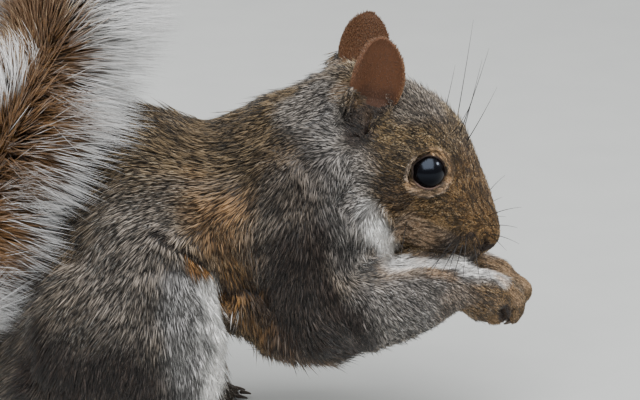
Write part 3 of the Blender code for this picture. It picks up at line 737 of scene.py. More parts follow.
# Folds of the face and paws: how deep and wide each line is pressed in, or raised if negative
creases = {
    "nostril": ([(98.2, 7.2, 62.8), (97.2, 8.0, 61.2), (97.6, 7.4, 59.4)], 1.3, 1.0),
    "mouth": ([(97.6, 6.6, 58.6), (94, 7.2, 57.2), (88, 8.8, 58.4), (82, 10.8, 60.8)], 0.9, 1.0),
    "cleft": ([(101.0, 0, 58.6), (99.0, 0, 56.4)], 0.8, 0.9),
    "whisker pad": ([(96, 8, 64.5), (90, 10, 64.5), (86, 11, 64)], -0.7, 3.4),
    "ear slit": (earSlit, 2.6, 1.3),
    "ear canal": (earCanal, 2.2, 1.1),
    "brow": ([(86, 15, 97.5), (79, 17, 98.5), (72, 18, 96)], -0.7, 3.0),
    "thigh edge": (thighEdge, 3.2, 2.6),
    "curled finger": ([(103.4, 15.6, 42.2), (104.3, 14.2, 40)], 2.4, 1.4),
    **{f"between fingers {count}": (gap, 1.8, 0.9) for count, gap in enumerate(fingerGaps)},
    **{f"between toes {count}": ([(np.add(a[:3], b[:3]) / 2 + (0, 0, 2)) for a, b
                                  in zip(one, other)], 0.9, 0.8)
       for count, (one, other) in enumerate(zip(toes, toes[1:]))},
}
lidShape = {
    "opening": 5.05,
    "corner": (1.5, -0.62, 0.33),  # how far the front corner draws out, where round, how wide
    "backCorner": (0.5, 2.75, 0.3),
    "rim": 0.45, "rimWidth": 0.9,
    "width": 2.6,  # of the lid, which eases back to the face
    "reach": 6,
    "socket": 2.3,
}


def pressFolds(points, normals):
    places = mirroredPoints(points)
    for line, depth, width in creases.values():
        gap = lineDistance(places, line)
        points = points - normals * (depth * np.exp(-(gap / width) ** 2))[:, None]
    return points


def shapeLids(points, side):
    # skin in front of the eyeball sinks behind it, and round the opening it stands up as a
    # rim on the ball that eases back to the face
    centre = np.array(eyeShape["centre"]) * (1, side, 1)
    facing = unit(np.array(eyeShape["facing"]) * (1, side, 1))
    ahead = unit(np.cross(facing, (0, 0, 1)) * side)
    ahead = ahead if ahead[0] > 0 else -ahead
    upward = unit(np.cross(ahead, facing))
    upward = upward if upward[2] > 0 else -upward
    offset = points - centre
    depth = offset @ facing
    x, z = offset @ ahead, offset @ upward
    turn = np.arctan2(z, x)
    reach = np.hypot(x, z)
    corner, place, width = lidShape["corner"]
    backCorner, backPlace, backWidth = lidShape["backCorner"]
    edge = (lidShape["opening"] + (corner * np.exp(-((turn - place) / width) ** 2)
                                   + backCorner * np.exp(-((np.abs(turn) - backPlace)
                                                           / backWidth) ** 2)))
    near = (depth > -1) & (reach < edge + lidShape["reach"])
    beyond = reach - edge
    ball = np.sqrt(eyeShape["lidRadius"] ** 2
                   - np.minimum(reach, eyeShape["lidReach"]) ** 2)
    rimHeight = ball + (lidShape["rim"]
                        * np.exp(-(np.maximum(beyond, 0) / lidShape["rimWidth"]) ** 2))
    outside = np.where(beyond > 0, 1 - ease(beyond, 0.5, lidShape["width"]), 1.0)
    sunk = np.minimum(depth, lidShape["socket"])
    opened = ease(-beyond, -0.05, 0.55)
    target = rimHeight * (1 - opened) + sunk * opened
    moved = depth * (1 - outside) + target * outside
    return np.where(near[:, None], points + facing * (moved - depth)[:, None], points)


def refine(thing, chosen):
    # one finer level where the detail needs it
    bm = bmesh.new()
    bm.from_mesh(thing.data)
    edges = [edge for edge in bm.edges if all(chosen[vertex.index] for vertex in edge.verts)]
    bmesh.ops.subdivide_edges(bm, edges=edges, cuts=1, use_grid_fill=True, smooth=0.0)
    bmesh.ops.triangulate(bm, faces=[face for face in bm.faces if len(face.verts) > 4])
    bm.to_mesh(thing.data)
    bm.free()


finePlaces = (  # least and most x, y and z of the face, ears, hands and toes, on the left
    ((64, -1, 52), (200, 99, 200)),
    ((52, 11, 92), (200, 99, 200)),
    ((94, -1, -9), (200, 99, 53)),
    ((0, 18, -9), (200, 99, 7)),
)
places = mirroredPoints(pointsOf(skin.data))
fine = np.zeros(len(places), bool)
for least, most in finePlaces:
    fine |= ((places > least) & (places < most)).all(1)
refine(skin, fine)
skin.data.update()
skinPoints = pressFolds(pointsOf(skin.data), normalsOf(skin.data))
for side in (-1, 1):
    skinPoints = shapeLids(skinPoints, side)
setPoints(skin.data, skinPoints)
ears = join([makeEar(-1), makeEar(1)])
bake(skin, "BOOLEAN", operation="UNION", object=ears, solver="EXACT")
discard(ears)
skin.name = "skin"
print("face and ears ready", len(skin.data.vertices))


# Which part of the body each piece of skin belongs to, by the solid that lies nearest
partOfNode = {"head": "head", "neck": "neck", "trunk": "trunk", "upper_arm": "arm",
              "forearm": "forearm", "hand": "hand", "thigh": "thigh", "shank": "foot",
              "foot": "foot", "ear": "ear", "tail": "tail"}
partNames = sorted(set(partOfNode.values()))


def nearestPart(points):
    nearest = np.full(len(points), farAway)
    chosen = np.zeros(len(points), int)
    for number, part in enumerate(partNames):
        if part in ("tail", "ear"):
            continue
        names = [name for name in fleshNodes
                 if any(name.startswith(start) and partOfNode[start] == part
                        for start in partOfNode)]
        near = benchCopy(names, 0.0)
        surface = surfaceOf(near)
        discard(near)
        gaps = np.array([surface.find_nearest(Vector(point))[3] for point in points])
        chosen = np.where(gaps < nearest, number, chosen)
        nearest = np.minimum(nearest, gaps)
    return chosen


tailLine = smoothLine([row[:3] for row in skinShape["tailCore"]], 6)
skinPoints, skinNormals = pointsOf(skin.data), normalsOf(skin.data)
places = mirroredPoints(skinPoints)
partAt = nearestPart(skinPoints)
onTail = ((lineDistance(skinPoints, tailLine) < 9.5)  # behind the rump or above the back
          & ((skinPoints[:, 0] < -54) | (skinPoints[:, 2] > 62)))
partAt[onTail] = partNames.index("tail")
earLine = [(60.5, 16, 101), (62.5, 17.5, 112), (64.5, 18, 131)]
onEar = ((lineDistance(places, earLine) < 11) & (places[:, 2] > 103.5)
         & (places[:, 1] > 12.2) & (places[:, 0] + places[:, 2] > 172.5))
for index in np.where(onEar)[0]:  # the ear is what stands out from the head
    found, normal, _, _ = outlineSurface.find_nearest(Vector(skinPoints[index]))
    onEar[index] = (Vector(skinPoints[index]) - found).dot(normal) > 0.6
onEar |= lineDistance(places, earFoot) < 2.2
partAt[onEar] = partNames.index("ear")
hairLength = combed(skinPoints, skinNormals, strokeSamples)[1]
coatTop = skinNormals * coatDepth(hairLength)[:, None]
paintA, paintB = painted(skinPoints + coatTop)
setAttribute(skin.data, "paintA", paintA)
setAttribute(skin.data, "paintB", paintB)
# Bare skin: the ears, the dark lids and nose, and the paler pads and fingertips; the dark in the
# nostrils and in the ear's slit and canal is painted shade in those hollows. Each line is full
# to its reach and fades beyond
bareLines = (
    ([(101, 0, 61), (100, 4, 60.4), (98.6, 6.4, 60)], 1.0, 1.2),
    (creases["mouth"][0], 0.2, 0.6),
    (creases["nostril"][0], 0.5, 0.8),
    (earSlit, 1.1, 0.9),
    (earCanal, 1.1, 0.8),
)
padLines = (([(101, 10, 38), (106, 8, 37.5)], 1.6, 1.6), ([(96, 8, 38.5)], 2.0, 2.0))
earFootShade = 0.55  # how dark the foot of the ear is painted: painted shade in the hollow where it joins the head


def nearLines(lines):
    shares = np.zeros(len(places))
    for line, reach, fade in lines:
        shares = np.maximum(shares, 1 - ease(lineDistance(places, line), reach, reach + fade))
    return shares


eyeAxis = unit(np.array(eyeShape["facing"]))
fromEye = places - eyeShape["centre"]
ahead = fromEye @ eyeAxis
eyeReach = np.linalg.norm(fromEye - np.outer(ahead, eyeAxis), axis=1)
darkSkinAndShade = (1 - ease(eyeReach, 5.35, 5.8)) * (ahead > -2)
# painted shade in the hollow at the foot of the ear, in the dark lid colour
darkSkinAndShade = np.maximum(darkSkinAndShade, earFootShade * (1 - ease(lineDistance(places, earFoot), 1.5, 5)))
darkSkinAndShade = np.maximum(darkSkinAndShade, nearLines(bareLines))
# a pale wet line along the lower lid, and the tear corner
turn = np.arctan2(fromEye[:, 2], fromEye[:, 0])
lidLine = (1 - ease(np.abs(eyeReach - 5.25), 0.12, 0.4)) * ease(-fromEye[:, 2], 1.5, 3.5)
tearCorner = (np.exp(-((turn - lidShape["corner"][1]) / 0.3) ** 2)
              * (1 - ease(np.abs(eyeReach - 5.4), 0.3, 0.8)))
padSkin = np.maximum(nearLines(padLines),
                     np.maximum(0.75 * lidLine, tearCorner) * (darkSkinAndShade > 0.01))
setAttribute(skin.data, "bare", np.stack([onEar.astype(float), darkSkinAndShade, padSkin], 1))
bareSkin = onEar | (darkSkinAndShade > 0.6)
print("parts and markings ready")


# Coat: every tuft is a thin solid spindle that leaves the skin at a slant and bends along it
tuftShape = {
    "thickest": 0.42,  # share of its length
    "flatness": 0.32,  # its thickness in breadths, from the middle to one side
    "floor": 0.15,  # nothing reaches lower
    "patch": (0.003 * 0.35, 0.003),  # size of its own little patch on the UV map
}


def makeTuft():
    # three sides, a point at the root and the tip, and one ring between
    bm = bmesh.new()
    bmesh.ops.create_cone(bm, cap_ends=True, segments=3, radius1=1.0, radius2=1.0, depth=1.0)
    caps = [face for face in bm.faces if abs(face.normal.z) > 0.9]
    caps.sort(key=lambda face: face.calc_center_median().z)
    for cap, height in zip(caps, (0.0, 1.0)):
        bmesh.ops.poke(bm, faces=[cap])["verts"][0].co.z = height
    for vertex in bm.verts:
        if math.hypot(vertex.co.x, vertex.co.y) > 0.5:
            vertex.co.z = tuftShape["thickest"]
    bmesh.ops.remove_doubles(bm, verts=bm.verts, dist=0.001)
    bmesh.ops.triangulate(bm, faces=bm.faces)
    bmesh.ops.recalc_face_normals(bm, faces=bm.faces)
    bm.verts.ensure_lookup_table()
    corners = np.array([vertex.co[:] for vertex in bm.verts])
    faces = np.array([[vertex.index for vertex in face.verts] for face in bm.faces])
    bm.free()
    return corners, faces


tuftCorners, tuftFaces = makeTuft()


def unwrapped(chosen):
    # the chosen part of the skin laid flat, as triangles with the place of each corner
    bm = bmesh.new()
    bm.from_mesh(skin.data)
    bm.faces.ensure_lookup_table()
    bmesh.ops.delete(bm, geom=[bm.faces[index] for index in np.where(~chosen)[0]],
                     context="FACES")
    bmesh.ops.triangulate(bm, faces=bm.faces)
    flat = fromBmesh("unwrapped", bm)
    bpy.context.view_layer.objects.active = flat
    flat.select_set(True)
    flat.data.uv_layers.new(name="OFBake")
    bpy.ops.object.mode_set(mode="EDIT")
    bpy.ops.mesh.select_all(action="SELECT")
    bpy.ops.uv.smart_project(angle_limit=math.radians(66), island_margin=0.004)
    bpy.ops.object.mode_set(mode="OBJECT")
    mesh = flat.data
    corners = np.empty(len(mesh.loops), int)
    mesh.loops.foreach_get("vertex_index", corners)
    places = np.empty(len(mesh.loops) * 2, np.float32)
    mesh.uv_layers["OFBake"].data.foreach_get("uv", places)
    points, normals = pointsOf(mesh), normalsOf(mesh)
    corners = corners.reshape(-1, 3)
    discard(flat)
    return points, normals, corners, places.reshape(-1, 3, 2)


def sowRoots(points, normals, corners, places, perArea, most):
    # roots spread evenly over the triangles, more where the hair is short, never above most
    a, b, c = (points[corners[:, k]] for k in range(3))
    area = 0.5 * np.linalg.norm(np.cross(b - a, c - a), axis=1)
    wanted = np.cumsum(area * perArea((a + b + c) / 3, unit(normals[corners].mean(1))))
    count = min(int(wanted[-1]), most)
    marks = (np.arange(count) + dice.random(count)) * wanted[-1] / count
    chosen = np.minimum(np.searchsorted(wanted, marks), len(corners) - 1)
    shares = dice.random((count, 2))
    folded = shares.sum(1) > 1
    shares[folded] = 1 - shares[folded]
    weights = np.column_stack((1 - shares.sum(1), shares))
    roots = (points[corners[chosen]] * weights[:, :, None]).sum(1)
    facing = unit((normals[corners[chosen]] * weights[:, :, None]).sum(1))
    rootPlaces = (places[chosen] * weights[:, :, None]).sum(1)
    return roots, facing, rootPlaces


def growTufts(name, roots, facing, rootPlaces, starts, ends, lengths, widths, looks):
    # a tuft along a bent line from start direction to end direction, for every root at once
    count, size = len(roots), len(tuftCorners)
    across = unit(np.cross(facing, ends))
    above = unit(np.cross(ends, across))
    aside, thick, along = tuftCorners.T
    early, late = along - 0.5 * along ** 2, 0.5 * along ** 2
    points = (roots[:, None] + lengths[:, None, None]
              * (starts[:, None] * early[None, :, None] + ends[:, None] * late[None, :, None]))
    points += looks["gather"][:, None] * (along ** 2)[None, :, None]
    flat = widths * tuftShape["flatness"]
    points += across[:, None] * (aside[None] * 0.5 * widths[:, None])[:, :, None]
    points += above[:, None] * (thick[None] * flat[:, None])[:, :, None]
    points = posed(points.reshape(-1, 3))
    points[:, 2] = np.maximum(points[:, 2], tuftShape["floor"])
    mesh = bpy.data.meshes.new(name)
    joined = (tuftFaces[None] + (np.arange(count) * size)[:, None, None]).reshape(-1, 3)
    mesh.vertices.add(count * size)
    mesh.loops.add(len(joined) * 3)
    mesh.polygons.add(len(joined))
    mesh.vertices.foreach_set("co", points.astype(np.float32).ravel())
    mesh.loops.foreach_set("vertex_index", joined.astype(np.int32).ravel())
    mesh.polygons.foreach_set("loop_start", np.arange(0, len(joined) * 3, 3, dtype=np.int32))
    mesh.update(calc_edges=True)
    setAttribute(mesh, "along", np.tile(along, count))
    for key in ("chance", "paintA", "paintB"):
        setAttribute(mesh, key, np.repeat(looks[key], size, axis=0))
    patch = np.column_stack((aside, along - 0.5)) * tuftShape["patch"]
    spots = (rootPlaces[:, None] + patch[None]).reshape(-1, 2)[joined.ravel()]
    layer = mesh.uv_layers.new(name="OFBake")
    layer.data.foreach_set("uv", spots.astype(np.float32).ravel())
    mesh.transform(toFrame)
    mesh.shade_smooth()
    print(name, count, "tufts")
    return newObject(name, mesh)


coatLook = {
    "lift": 24, "settle": 7,  # degrees off the skin at the root and at the tip
    "unevenness": 5,  # degrees from tuft to tuft
    "straying": 0.10,  # how far single tufts stray, in radians
    "swirl": 0.16,  # how far whole patches stray
    "cover": 5.2,  # how many layers of hair lie over each other
    "mostPerArea": 11,  # tufts on a square millimetre
    "slender": 0.05,  # how much less a step along the hair counts than one across it
    "gathering": 0.3,  # how far tips are drawn together into a lock
    "earGathering": 0.1,
    "guardShare": 0.06,  # share of long guard hairs
    "guardLength": 1.35,  # how many times as long as the others
    "lockShares": (0.5, 0.75, 0.85),  # share of hairs with the shift, luck and shade of their lock
    "contrast": (2.1, 1.3),  # crisp flecks in short hair, and how much softer in long
    "paintedAt": {"trunk": 0.3, "other": 0.6},  # share of its length whose marking a hair takes
}


def hairWidth(lengths):
    return np.clip(0.21 + 0.022 * lengths, 0.24, 0.42)


def locks(roots, lie, breadth):
    # which long narrow lock each hair belongs to
    lockArea = 4.5 * breadth ** 2
    keep = max(int(lockArea * len(roots) / max(1.0, coveredArea(roots))), 1)
    centres = roots[dice.permutation(len(roots))[::keep]]
    tree = KDTree(len(centres))
    for number, centre in enumerate(centres):
        tree.insert(centre, number)
    tree.balance()
    near = np.array([[found[1] for found in tree.find_n(root, 10)] for root in roots])
    offset = roots[:, None] - centres[near]
    ahead = (offset * lie[:, None]).sum(2)
    gap = (offset ** 2).sum(2) - (1 - coatLook["slender"]) * ahead ** 2
    return near[np.arange(len(roots)), gap.argmin(1)]


def gathered(tips, owner, strength):
    sums = np.zeros((owner.max() + 1, 3))
    np.add.at(sums, owner, tips)
    middles = sums / np.maximum(np.bincount(owner), 1)[:, None]
    return (middles[owner] - tips) * strength


def coveredArea(roots):
    # three-millimetre cells with roots in them, three quarters full on the whole
    cells = np.unique(np.floor(roots / 3.0).astype(int), axis=0)
    return len(cells) * 9.0 * 0.75


def bodyComb(points, facing):
    # the lie of the hair, its length and how dense it is
    return (*combed(points, facing, strokeSamples), 1.0)


def earPlaces(points, facing):
    # share of the ear's height, share of its breadth, and how much it faces outward
    mirror = np.ones((len(points), 3))
    mirror[:, 1] = np.sign(points[:, 1])
    root, tip = np.array(earShape["root"]), np.array(earShape["tip"])
    height = np.linalg.norm(tip - root)
    upward, opens = (tip - root) / height, unit(np.array(earShape["opens"]))
    offset = mirroredPoints(points) - root
    share = offset @ upward / height
    aside = (offset @ unit(np.cross(opens, upward))) / earBreadth(np.clip(share, 0.02, 0.99))
    return mirror, upward, share, aside, (facing * mirror) @ opens


def earComb(points, facing):
    # fuzz that lies up and outward over the leaf, thin within the cup, and stands a little
    # past its rim
    mirror, upward, share, aside, outward = earPlaces(points, facing)
    across = unit(np.cross(earShape["opens"], upward))
    ways = (upward + 0.5 * aside[:, None] * across) * mirror
    flat = ways - facing * (ways * facing).sum(1, keepdims=True)
    rim = np.maximum(ease(np.abs(aside), 0.94, 0.99), ease(share, 0.96, 0.99))
    low = 1 - ease(share, 0.08, 0.3)
    inside = ease(outward, -0.1, 0.3) * (1 - rim) * (1 - low)
    return unit(flat), 1.1 - 0.1 * rim + 0.4 * low - 0.2 * inside, 1 - 0.7 * inside


def earPaint(points, facing):
    # how near the rim, whose gold is partly the ear's edge fur and partly painted highlight,
    # strongest along one edge and at the top; and how much of the back of the ear
    _, _, share, aside, outward = earPlaces(points, facing)
    rim = np.maximum(ease(np.abs(aside), 0.93, 0.99), ease(share, 0.97, 1))
    # painted highlight: the rim stays full along one edge and at the top, a fifth elsewhere
    rim *= 0.2 + 0.8 * np.maximum(ease(aside, -0.6, 0.3), ease(share, 0.75, 0.95))
    back = 1 - ease(outward, -0.35, 0.15)
    return np.stack([rim, back, rim * 0], 1), np.zeros((len(points), 3))


def growCoat(name, chosen, most, comb, breadth):
    points, normals, corners, places = unwrapped(chosen)

    def perArea(middles, facing):
        _, length, density = comb(middles, facing)
        return density * np.minimum(coatLook["cover"] / (0.5 * hairWidth(length) * length),
                                    coatLook["mostPerArea"])

    roots, facing, rootPlaces = sowRoots(points, normals, corners, places, perArea, most)
    lie, lengths, _ = comb(roots, facing)
    count = len(roots)
    turn = (wander(roots, 11, 5) * coatLook["swirl"]
            + dice.normal(size=count) * coatLook["straying"])
    side = np.cross(facing, lie)
    lie = lie * np.cos(turn)[:, None] + side * np.sin(turn)[:, None]
    guard = dice.random(count) < coatLook["guardShare"]
    lengths = lengths * (1 + 0.16 * wander(roots, 5, 6)) * dice.uniform(0.75, 1.15, count)
    lengths = np.where(guard, lengths * coatLook["guardLength"], lengths)
    ruffled = np.zeros(count)
    for line, reach, fade, amount in ruffledHair:
        share = 1 - ease(lineDistance(mirroredPoints(roots), line), reach, reach + fade)
        ruffled = np.maximum(ruffled, amount * share)
    lift = np.radians(coatLook["lift"] + ruffled + 6 * wander(roots, 7, 8)
                      + coatLook["unevenness"] * dice.normal(size=count) + 7 * guard)
    settle = np.radians(coatLook["settle"] + 0.8 * ruffled
                        + coatLook["unevenness"] * dice.normal(size=count) + 8 * guard)
    starts, ends = (lie * np.cos(slant)[:, None] + facing * np.sin(slant)[:, None]
                    for slant in (lift, settle))
    tips = roots + lengths[:, None] * 0.5 * (starts + ends)
    ahead = coatLook["paintedAt"]["trunk" if "trunk" in name else "other"]
    seen = roots + ahead * (tips - roots) + facing * (0.25 * np.maximum(lengths - 1, 0))[:, None]
    paintA, paintB = earPaint(roots, facing) if comb is earComb else painted(seen)
    owner = locks(roots, lie, breadth)
    chance = dice.random((count, 3))
    shared = dice.random((owner.max() + 1, 3))[owner]
    chance = np.where(dice.random((count, 3)) < coatLook["lockShares"], shared, chance)
    crisp, softer = coatLook["contrast"]
    contrast = crisp - softer * ease(lengths, 2, 7)
    chance[:, 2] += 0.16 * wander(roots, 3.5, 12)
    chance[:, 2] = np.clip(0.5 + contrast * (chance[:, 2] - 0.5), 0, 1)
    gathering = coatLook["gathering" if comb is bodyComb else "earGathering"]
    looks = {"chance": chance, "paintA": paintA, "paintB": paintB,
             "gather": gathered(tips, owner, gathering)}
    widths = hairWidth(lengths) * dice.uniform(0.8, 1.2, count)
    sunk = np.minimum(0.25, 0.07 * lengths)[:, None]
    return growTufts(name, roots - facing * sunk, facing, rootPlaces, starts, ends, lengths,
                     widths, looks)


# Tail: long hair stands out from the core to the brush's outline and leans toward the tip
tailLook = {
    "width": 0.46,
    "perArea": 11,
    "lean": (0.30, 0.50),  # toward the tip, at the root and at the end of a hair
    "lowLean": (0.24, 0.26),  # the same on the lower half
    "spread": 0.5,  # how much of its sideways part a hair keeps, as it turns fore and aft
    "flat": 1.8,  # how much more it leans on the two flat faces of the brush
    "droop": 0.06,
    "straying": 0.12,
    "underfur": 0.35,  # share of shorter hair
    "reach": (6, 40),  # least and most length
    "clump": 1.3, "gathering": 0.3,
    "paleLobe": (-51, -22, 134),  # white hair folded over on the near side
    "forward": 0.5,  # how much longer hair is over the rump
    "fringeTurn": 30,  # degrees the pale fringes are turned from the fore-and-aft plane
}
tailWays = unit(np.gradient(tailLine, axis=0))


def growTail(name, chosen, most):
    points, normals, corners, places = unwrapped(chosen)

    def perArea(middles, facing):
        return np.full(len(middles), tailLook["perArea"])

    roots, facing, rootPlaces = sowRoots(points, normals, corners, places, perArea, most)
    count = len(roots)
    line = KDTree(len(tailLine))
    for index, place in enumerate(tailLine):
        line.insert(place, index)
    line.balance()
    nearest = np.array([line.find(root)[1] for root in roots])
    ways = tailWays[nearest]
    radial = unit(roots - tailLine[nearest] + facing * 0.5)
    radial = unit(radial - ways * (radial * ways).sum(1, keepdims=True))
    last = nearest > len(tailLine) - 4
    radial[last] = unit(facing[last])
    straying = dice.normal(size=(count, 3)) * tailLook["straying"]
    height = (nearest / len(tailLine))[:, None]
    leans = np.array(tailLook["lowLean"]) + (np.subtract(tailLook["lean"], tailLook["lowLean"])
                                             * ease(height, 0.45, 0.8))
    lean = 1 + 0.35 * wander(roots, 14, 31)
    aside = np.cross((0, 1, 0), ways)
    turn = math.radians(tailLook["fringeTurn"])
    fringeWay = unit(aside * math.cos(turn) - np.array((0, 1, 0)) * math.sin(turn))
    fringe = np.abs((radial * fringeWay).sum(1))
    lean *= 1 + tailLook["flat"] * (1 - fringe) ** 2
    spread = radial * (1, tailLook["spread"], 1)
    starts = unit(spread + ways * (leans[:, 0] * lean)[:, None] + straying + 0.25 * radial)
    ends = unit(spread + ways * (leans[:, 1] * lean)[:, None] + straying
                - np.array((0, 0, tailLook["droop"])))
    reaches = np.empty(count)
    for index, (root, way) in enumerate(zip(roots, unit(starts + ends))):
        reaches[index] = tailSurface.ray_cast(Vector(root), Vector(way))[3] or 8.0
    lengths = np.clip(reaches, *tailLook["reach"]) * (1 + 0.10 * wander(roots, 9, 32))
    full = np.where(dice.random(count) < tailLook["underfur"], dice.uniform(0.45, 0.8, count),
                    dice.uniform(0.84, 1.05, count))
    lengths *= full
    lengths *= 1 + tailLook["forward"] * (np.maximum(radial[:, 0], 0)
                                          * (1 - ease(height[:, 0], 0.6, 0.75)))
    tips = roots + lengths[:, None] * 0.5 * (starts + ends)
    lobe = 1 - ease(np.linalg.norm(tips - tailLook["paleLobe"], axis=1), 5, 14)
    lower = np.clip((0.62 - height[:, 0]) * 1.2, -0.12, 0.2) + 0.5 * (1 / full - 1) - 0.6 * lobe
    upper = ease(height[:, 0], 0.55, 0.75)
    paint = np.stack([ease(fringe + 0.12 * wander(roots, 9, 33) + lobe + 0.3 * upper, 0.5, 0.87),
                      0.5 + 0.5 * wander(roots, 10, 34), lower], 1)
    looks = {"chance": dice.random((count, 3)), "paintA": paint, "paintB": paint * 0,
             "gather": gathered(tips, locks(roots, starts, tailLook["clump"]),
                                tailLook["gathering"])}
    widths = tailLook["width"] * dice.uniform(0.75, 1.2, count)
    return growTufts(name, roots - facing * 0.3, facing, rootPlaces, starts, ends, lengths,
                     widths, looks)


# Colours of a hair at its root, its band, its dark ring and its tip, for each kind of coat
bodyColours = {
    "grey": ("#38322d", "#8c8072", "#2b2521", "#cfcac2"),
    "brown": ("#2a1f15", "#75603f", "#1d150e", "#cdb58b"),
    "silver": ("#52504f", "#9c9996", "#454240", "#e6e5e4"),
    "warm": ("#4a3016", "#a87434", "#6e4a22", "#caa268"),
    "dark": ("#17100e", "#2e221c", "#150f0d", "#7d6c5f"),
    "white": ("#b3afaa", "#efede9", "#e2dfdb", "#faf9f8"),
    "cream": ("#7d6248", "#a98862", "#94744f", "#d0b890"),
}
bodyStops = ((0.22, 0.45), (0.62, 0.74), (0.80, 0.9))  # where band, ring and tip begin
paleTips = 0.5  # share of hairs with a pale tip


def paintedColour(tree, stage, paints):
    colour = bodyColours["grey"][stage]
    for kind in markingsAndPaintedLight:
        colour = addNode(tree, "ShaderNodeMix",
                         {0: paints[kind], 6: colour, 7: bodyColours[kind][stage]},
                         data_type="RGBA")[2]
    return colour


def readAttribute(tree, name):
    # the three numbers that each point of the mesh keeps under a name
    vector = addNode(tree, "ShaderNodeAttribute", {}, attribute_name=name)["Vector"]
    return addNode(tree, "ShaderNodeSeparateXYZ", {0: vector})


def readPaints(tree):
    return dict(zip(markingsAndPaintedLight, (*readAttribute(tree, "paintA"), *readAttribute(tree, "paintB"))))


def banded(tree, along, stages, stops, luck=None):
    # one colour after another along the hair, the last only on hairs with luck if it is given
    colour = stages[0]
    for stage, (start, end) in zip(stages[1:], stops):
        share = addNode(tree, "ShaderNodeMapRange", {0: along, 1: start, 2: end},
                        interpolation_type="SMOOTHSTEP")[0]
        if luck is not None and stage is stages[-1]:
            share = addNode(tree, "ShaderNodeMath", {0: share, 1: luck}, operation="MULTIPLY")[0]
        colour = addNode(tree, "ShaderNodeMix", {0: share, 6: colour, 7: stage},
                         data_type="RGBA")[2]
    return colour


def coatMaterial():
    # ticked hair: slate at the root, a pale band, a dark ring and often a pale tip, a dull
    # satin that only gleams softly at a slant
    material, tree, shader = newMaterial("ticked guard hair", Roughness=0.62,
                                         Specular_IOR_Level=0.3, Sheen_Weight=0.12,
                                         Sheen_Roughness=0.45)
    paints = readPaints(tree)
    along = addNode(tree, "ShaderNodeAttribute", {}, attribute_name="along")["Fac"]
    shift, luck, shade = readAttribute(tree, "chance")
    along = addNode(tree, "ShaderNodeMath", {0: along, 1: 0.08}, operation="SUBTRACT")[0]
    along = addNode(tree, "ShaderNodeMath", {0: shift, 1: 0.16, 2: along},
                    operation="MULTIPLY_ADD")[0]
    stages = [paintedColour(tree, stage, paints) for stage in range(4)]
    pale = addNode(tree, "ShaderNodeMath", {0: luck, 1: paleTips}, operation="LESS_THAN")[0]
    colour = banded(tree, along, stages, bodyStops, pale)
    brightness = addNode(tree, "ShaderNodeMath", {0: shade, 1: 1.3, 2: 0.35},
                         operation="MULTIPLY_ADD")[0]
    # white hair is never much shaded
    least = addNode(tree, "ShaderNodeMath", {0: paints["white"], 1: 0.95},
                    operation="MULTIPLY")[0]
    brightness = addNode(tree, "ShaderNodeMath", {0: brightness, 1: least},
                         operation="MAXIMUM")[0]
    shaded = addNode(tree, "ShaderNodeHueSaturation", {"Color": colour, "Value": brightness})
    tree.links.new(shaded[0], shader.inputs["Base Color"])
    return material


# the dark lid colour also serves the nose and the painted shade in the nostrils and the ear's slit,
# canal and foot
bareColours = {"ear": ("#5f3b25", "#48301f"), "lid": ("#2e211c", "#1a1210"),
               "pad": ("#a98d80", "#7d6358")}


def skinMaterial():
    # living skin under dense underfur: dull, faintly pored, in the coat's own marks, painted shade
    # and highlights among them
    material, tree, shader = newMaterial("skin and underfur", Roughness=0.75,
                                         Specular_IOR_Level=0.25)
    paints = readPaints(tree)
    place = addNode(tree, "ShaderNodeTexCoord", {})["Object"]
    down = addNode(tree, "ShaderNodeTexNoise",
                   {"Vector": place, "Scale": 0.9 / mm, "Detail": 3.0})["Fac"]
    root, band = (paintedColour(tree, stage, paints) for stage in range(2))
    colour = addNode(tree, "ShaderNodeMix", {0: down, 6: root, 7: band}, data_type="RGBA")[2]
    for (pale, deep), share in zip(bareColours.values(), readAttribute(tree, "bare")):
        bare = addNode(tree, "ShaderNodeMix", {0: down, 6: deep, 7: pale}, data_type="RGBA")[2]
        colour = addNode(tree, "ShaderNodeMix", {0: share, 6: colour, 7: bare},
                         data_type="RGBA")[2]
    bump = addNode(tree, "ShaderNodeBump", {"Height": down, "Strength": 0.4, "Distance": 0.2 * mm})
    tree.links.new(bump[0], shader.inputs["Normal"])
    tree.links.new(colour, shader.inputs["Base Color"])
    return material


# A tail hair: brown at its root, a black band, then a long white end on the fringes;
# along the middle of the brush it stays brown and black
tailColours = {
    "side": ("#8f6c48", "#65564a", "#d6d5d3", "#e6e5e3"),
    "middle": ("#8a6742", "#93704a", "#6a5038", "#a08866"),
}
tailStops = ((0.25, 0.34), (0.39, 0.49), (0.82, 0.92))


def tailMaterial():
    # long coarse hair in clear bands, a soft gleam along it
    material, tree, shader = newMaterial("banded tail hair", Roughness=0.55,
                                         Specular_IOR_Level=0.32, Sheen_Weight=0.1,
                                         Sheen_Roughness=0.4)
    fringe, patch, lower = readAttribute(tree, "paintA")
    along = addNode(tree, "ShaderNodeAttribute", {}, attribute_name="along")["Fac"]
    shift, _, shade = readAttribute(tree, "chance")
    for source, amount in ((shift, 0.12), (patch, 0.2)):
        centred = addNode(tree, "ShaderNodeMath", {0: source, 1: 0.5}, operation="SUBTRACT")[0]
        along = addNode(tree, "ShaderNodeMath", {0: centred, 1: amount, 2: along},
                        operation="MULTIPLY_ADD")[0]
    along = addNode(tree, "ShaderNodeMath", {0: along, 1: lower}, operation="SUBTRACT")[0]
    stages = [addNode(tree, "ShaderNodeMix", {0: fringe, 6: middle, 7: side},
                      data_type="RGBA")[2]
              for middle, side in zip(tailColours["middle"], tailColours["side"])]
    colour = banded(tree, along, stages, tailStops)
    brightness = addNode(tree, "ShaderNodeMath", {0: shade, 1: 0.4, 2: 0.78},
                         operation="MULTIPLY_ADD")[0]
    shaded = addNode(tree, "ShaderNodeHueSaturation", {"Color": colour, "Value": brightness})
    tree.links.new(shaded[0], shader.inputs["Base Color"])
    return material


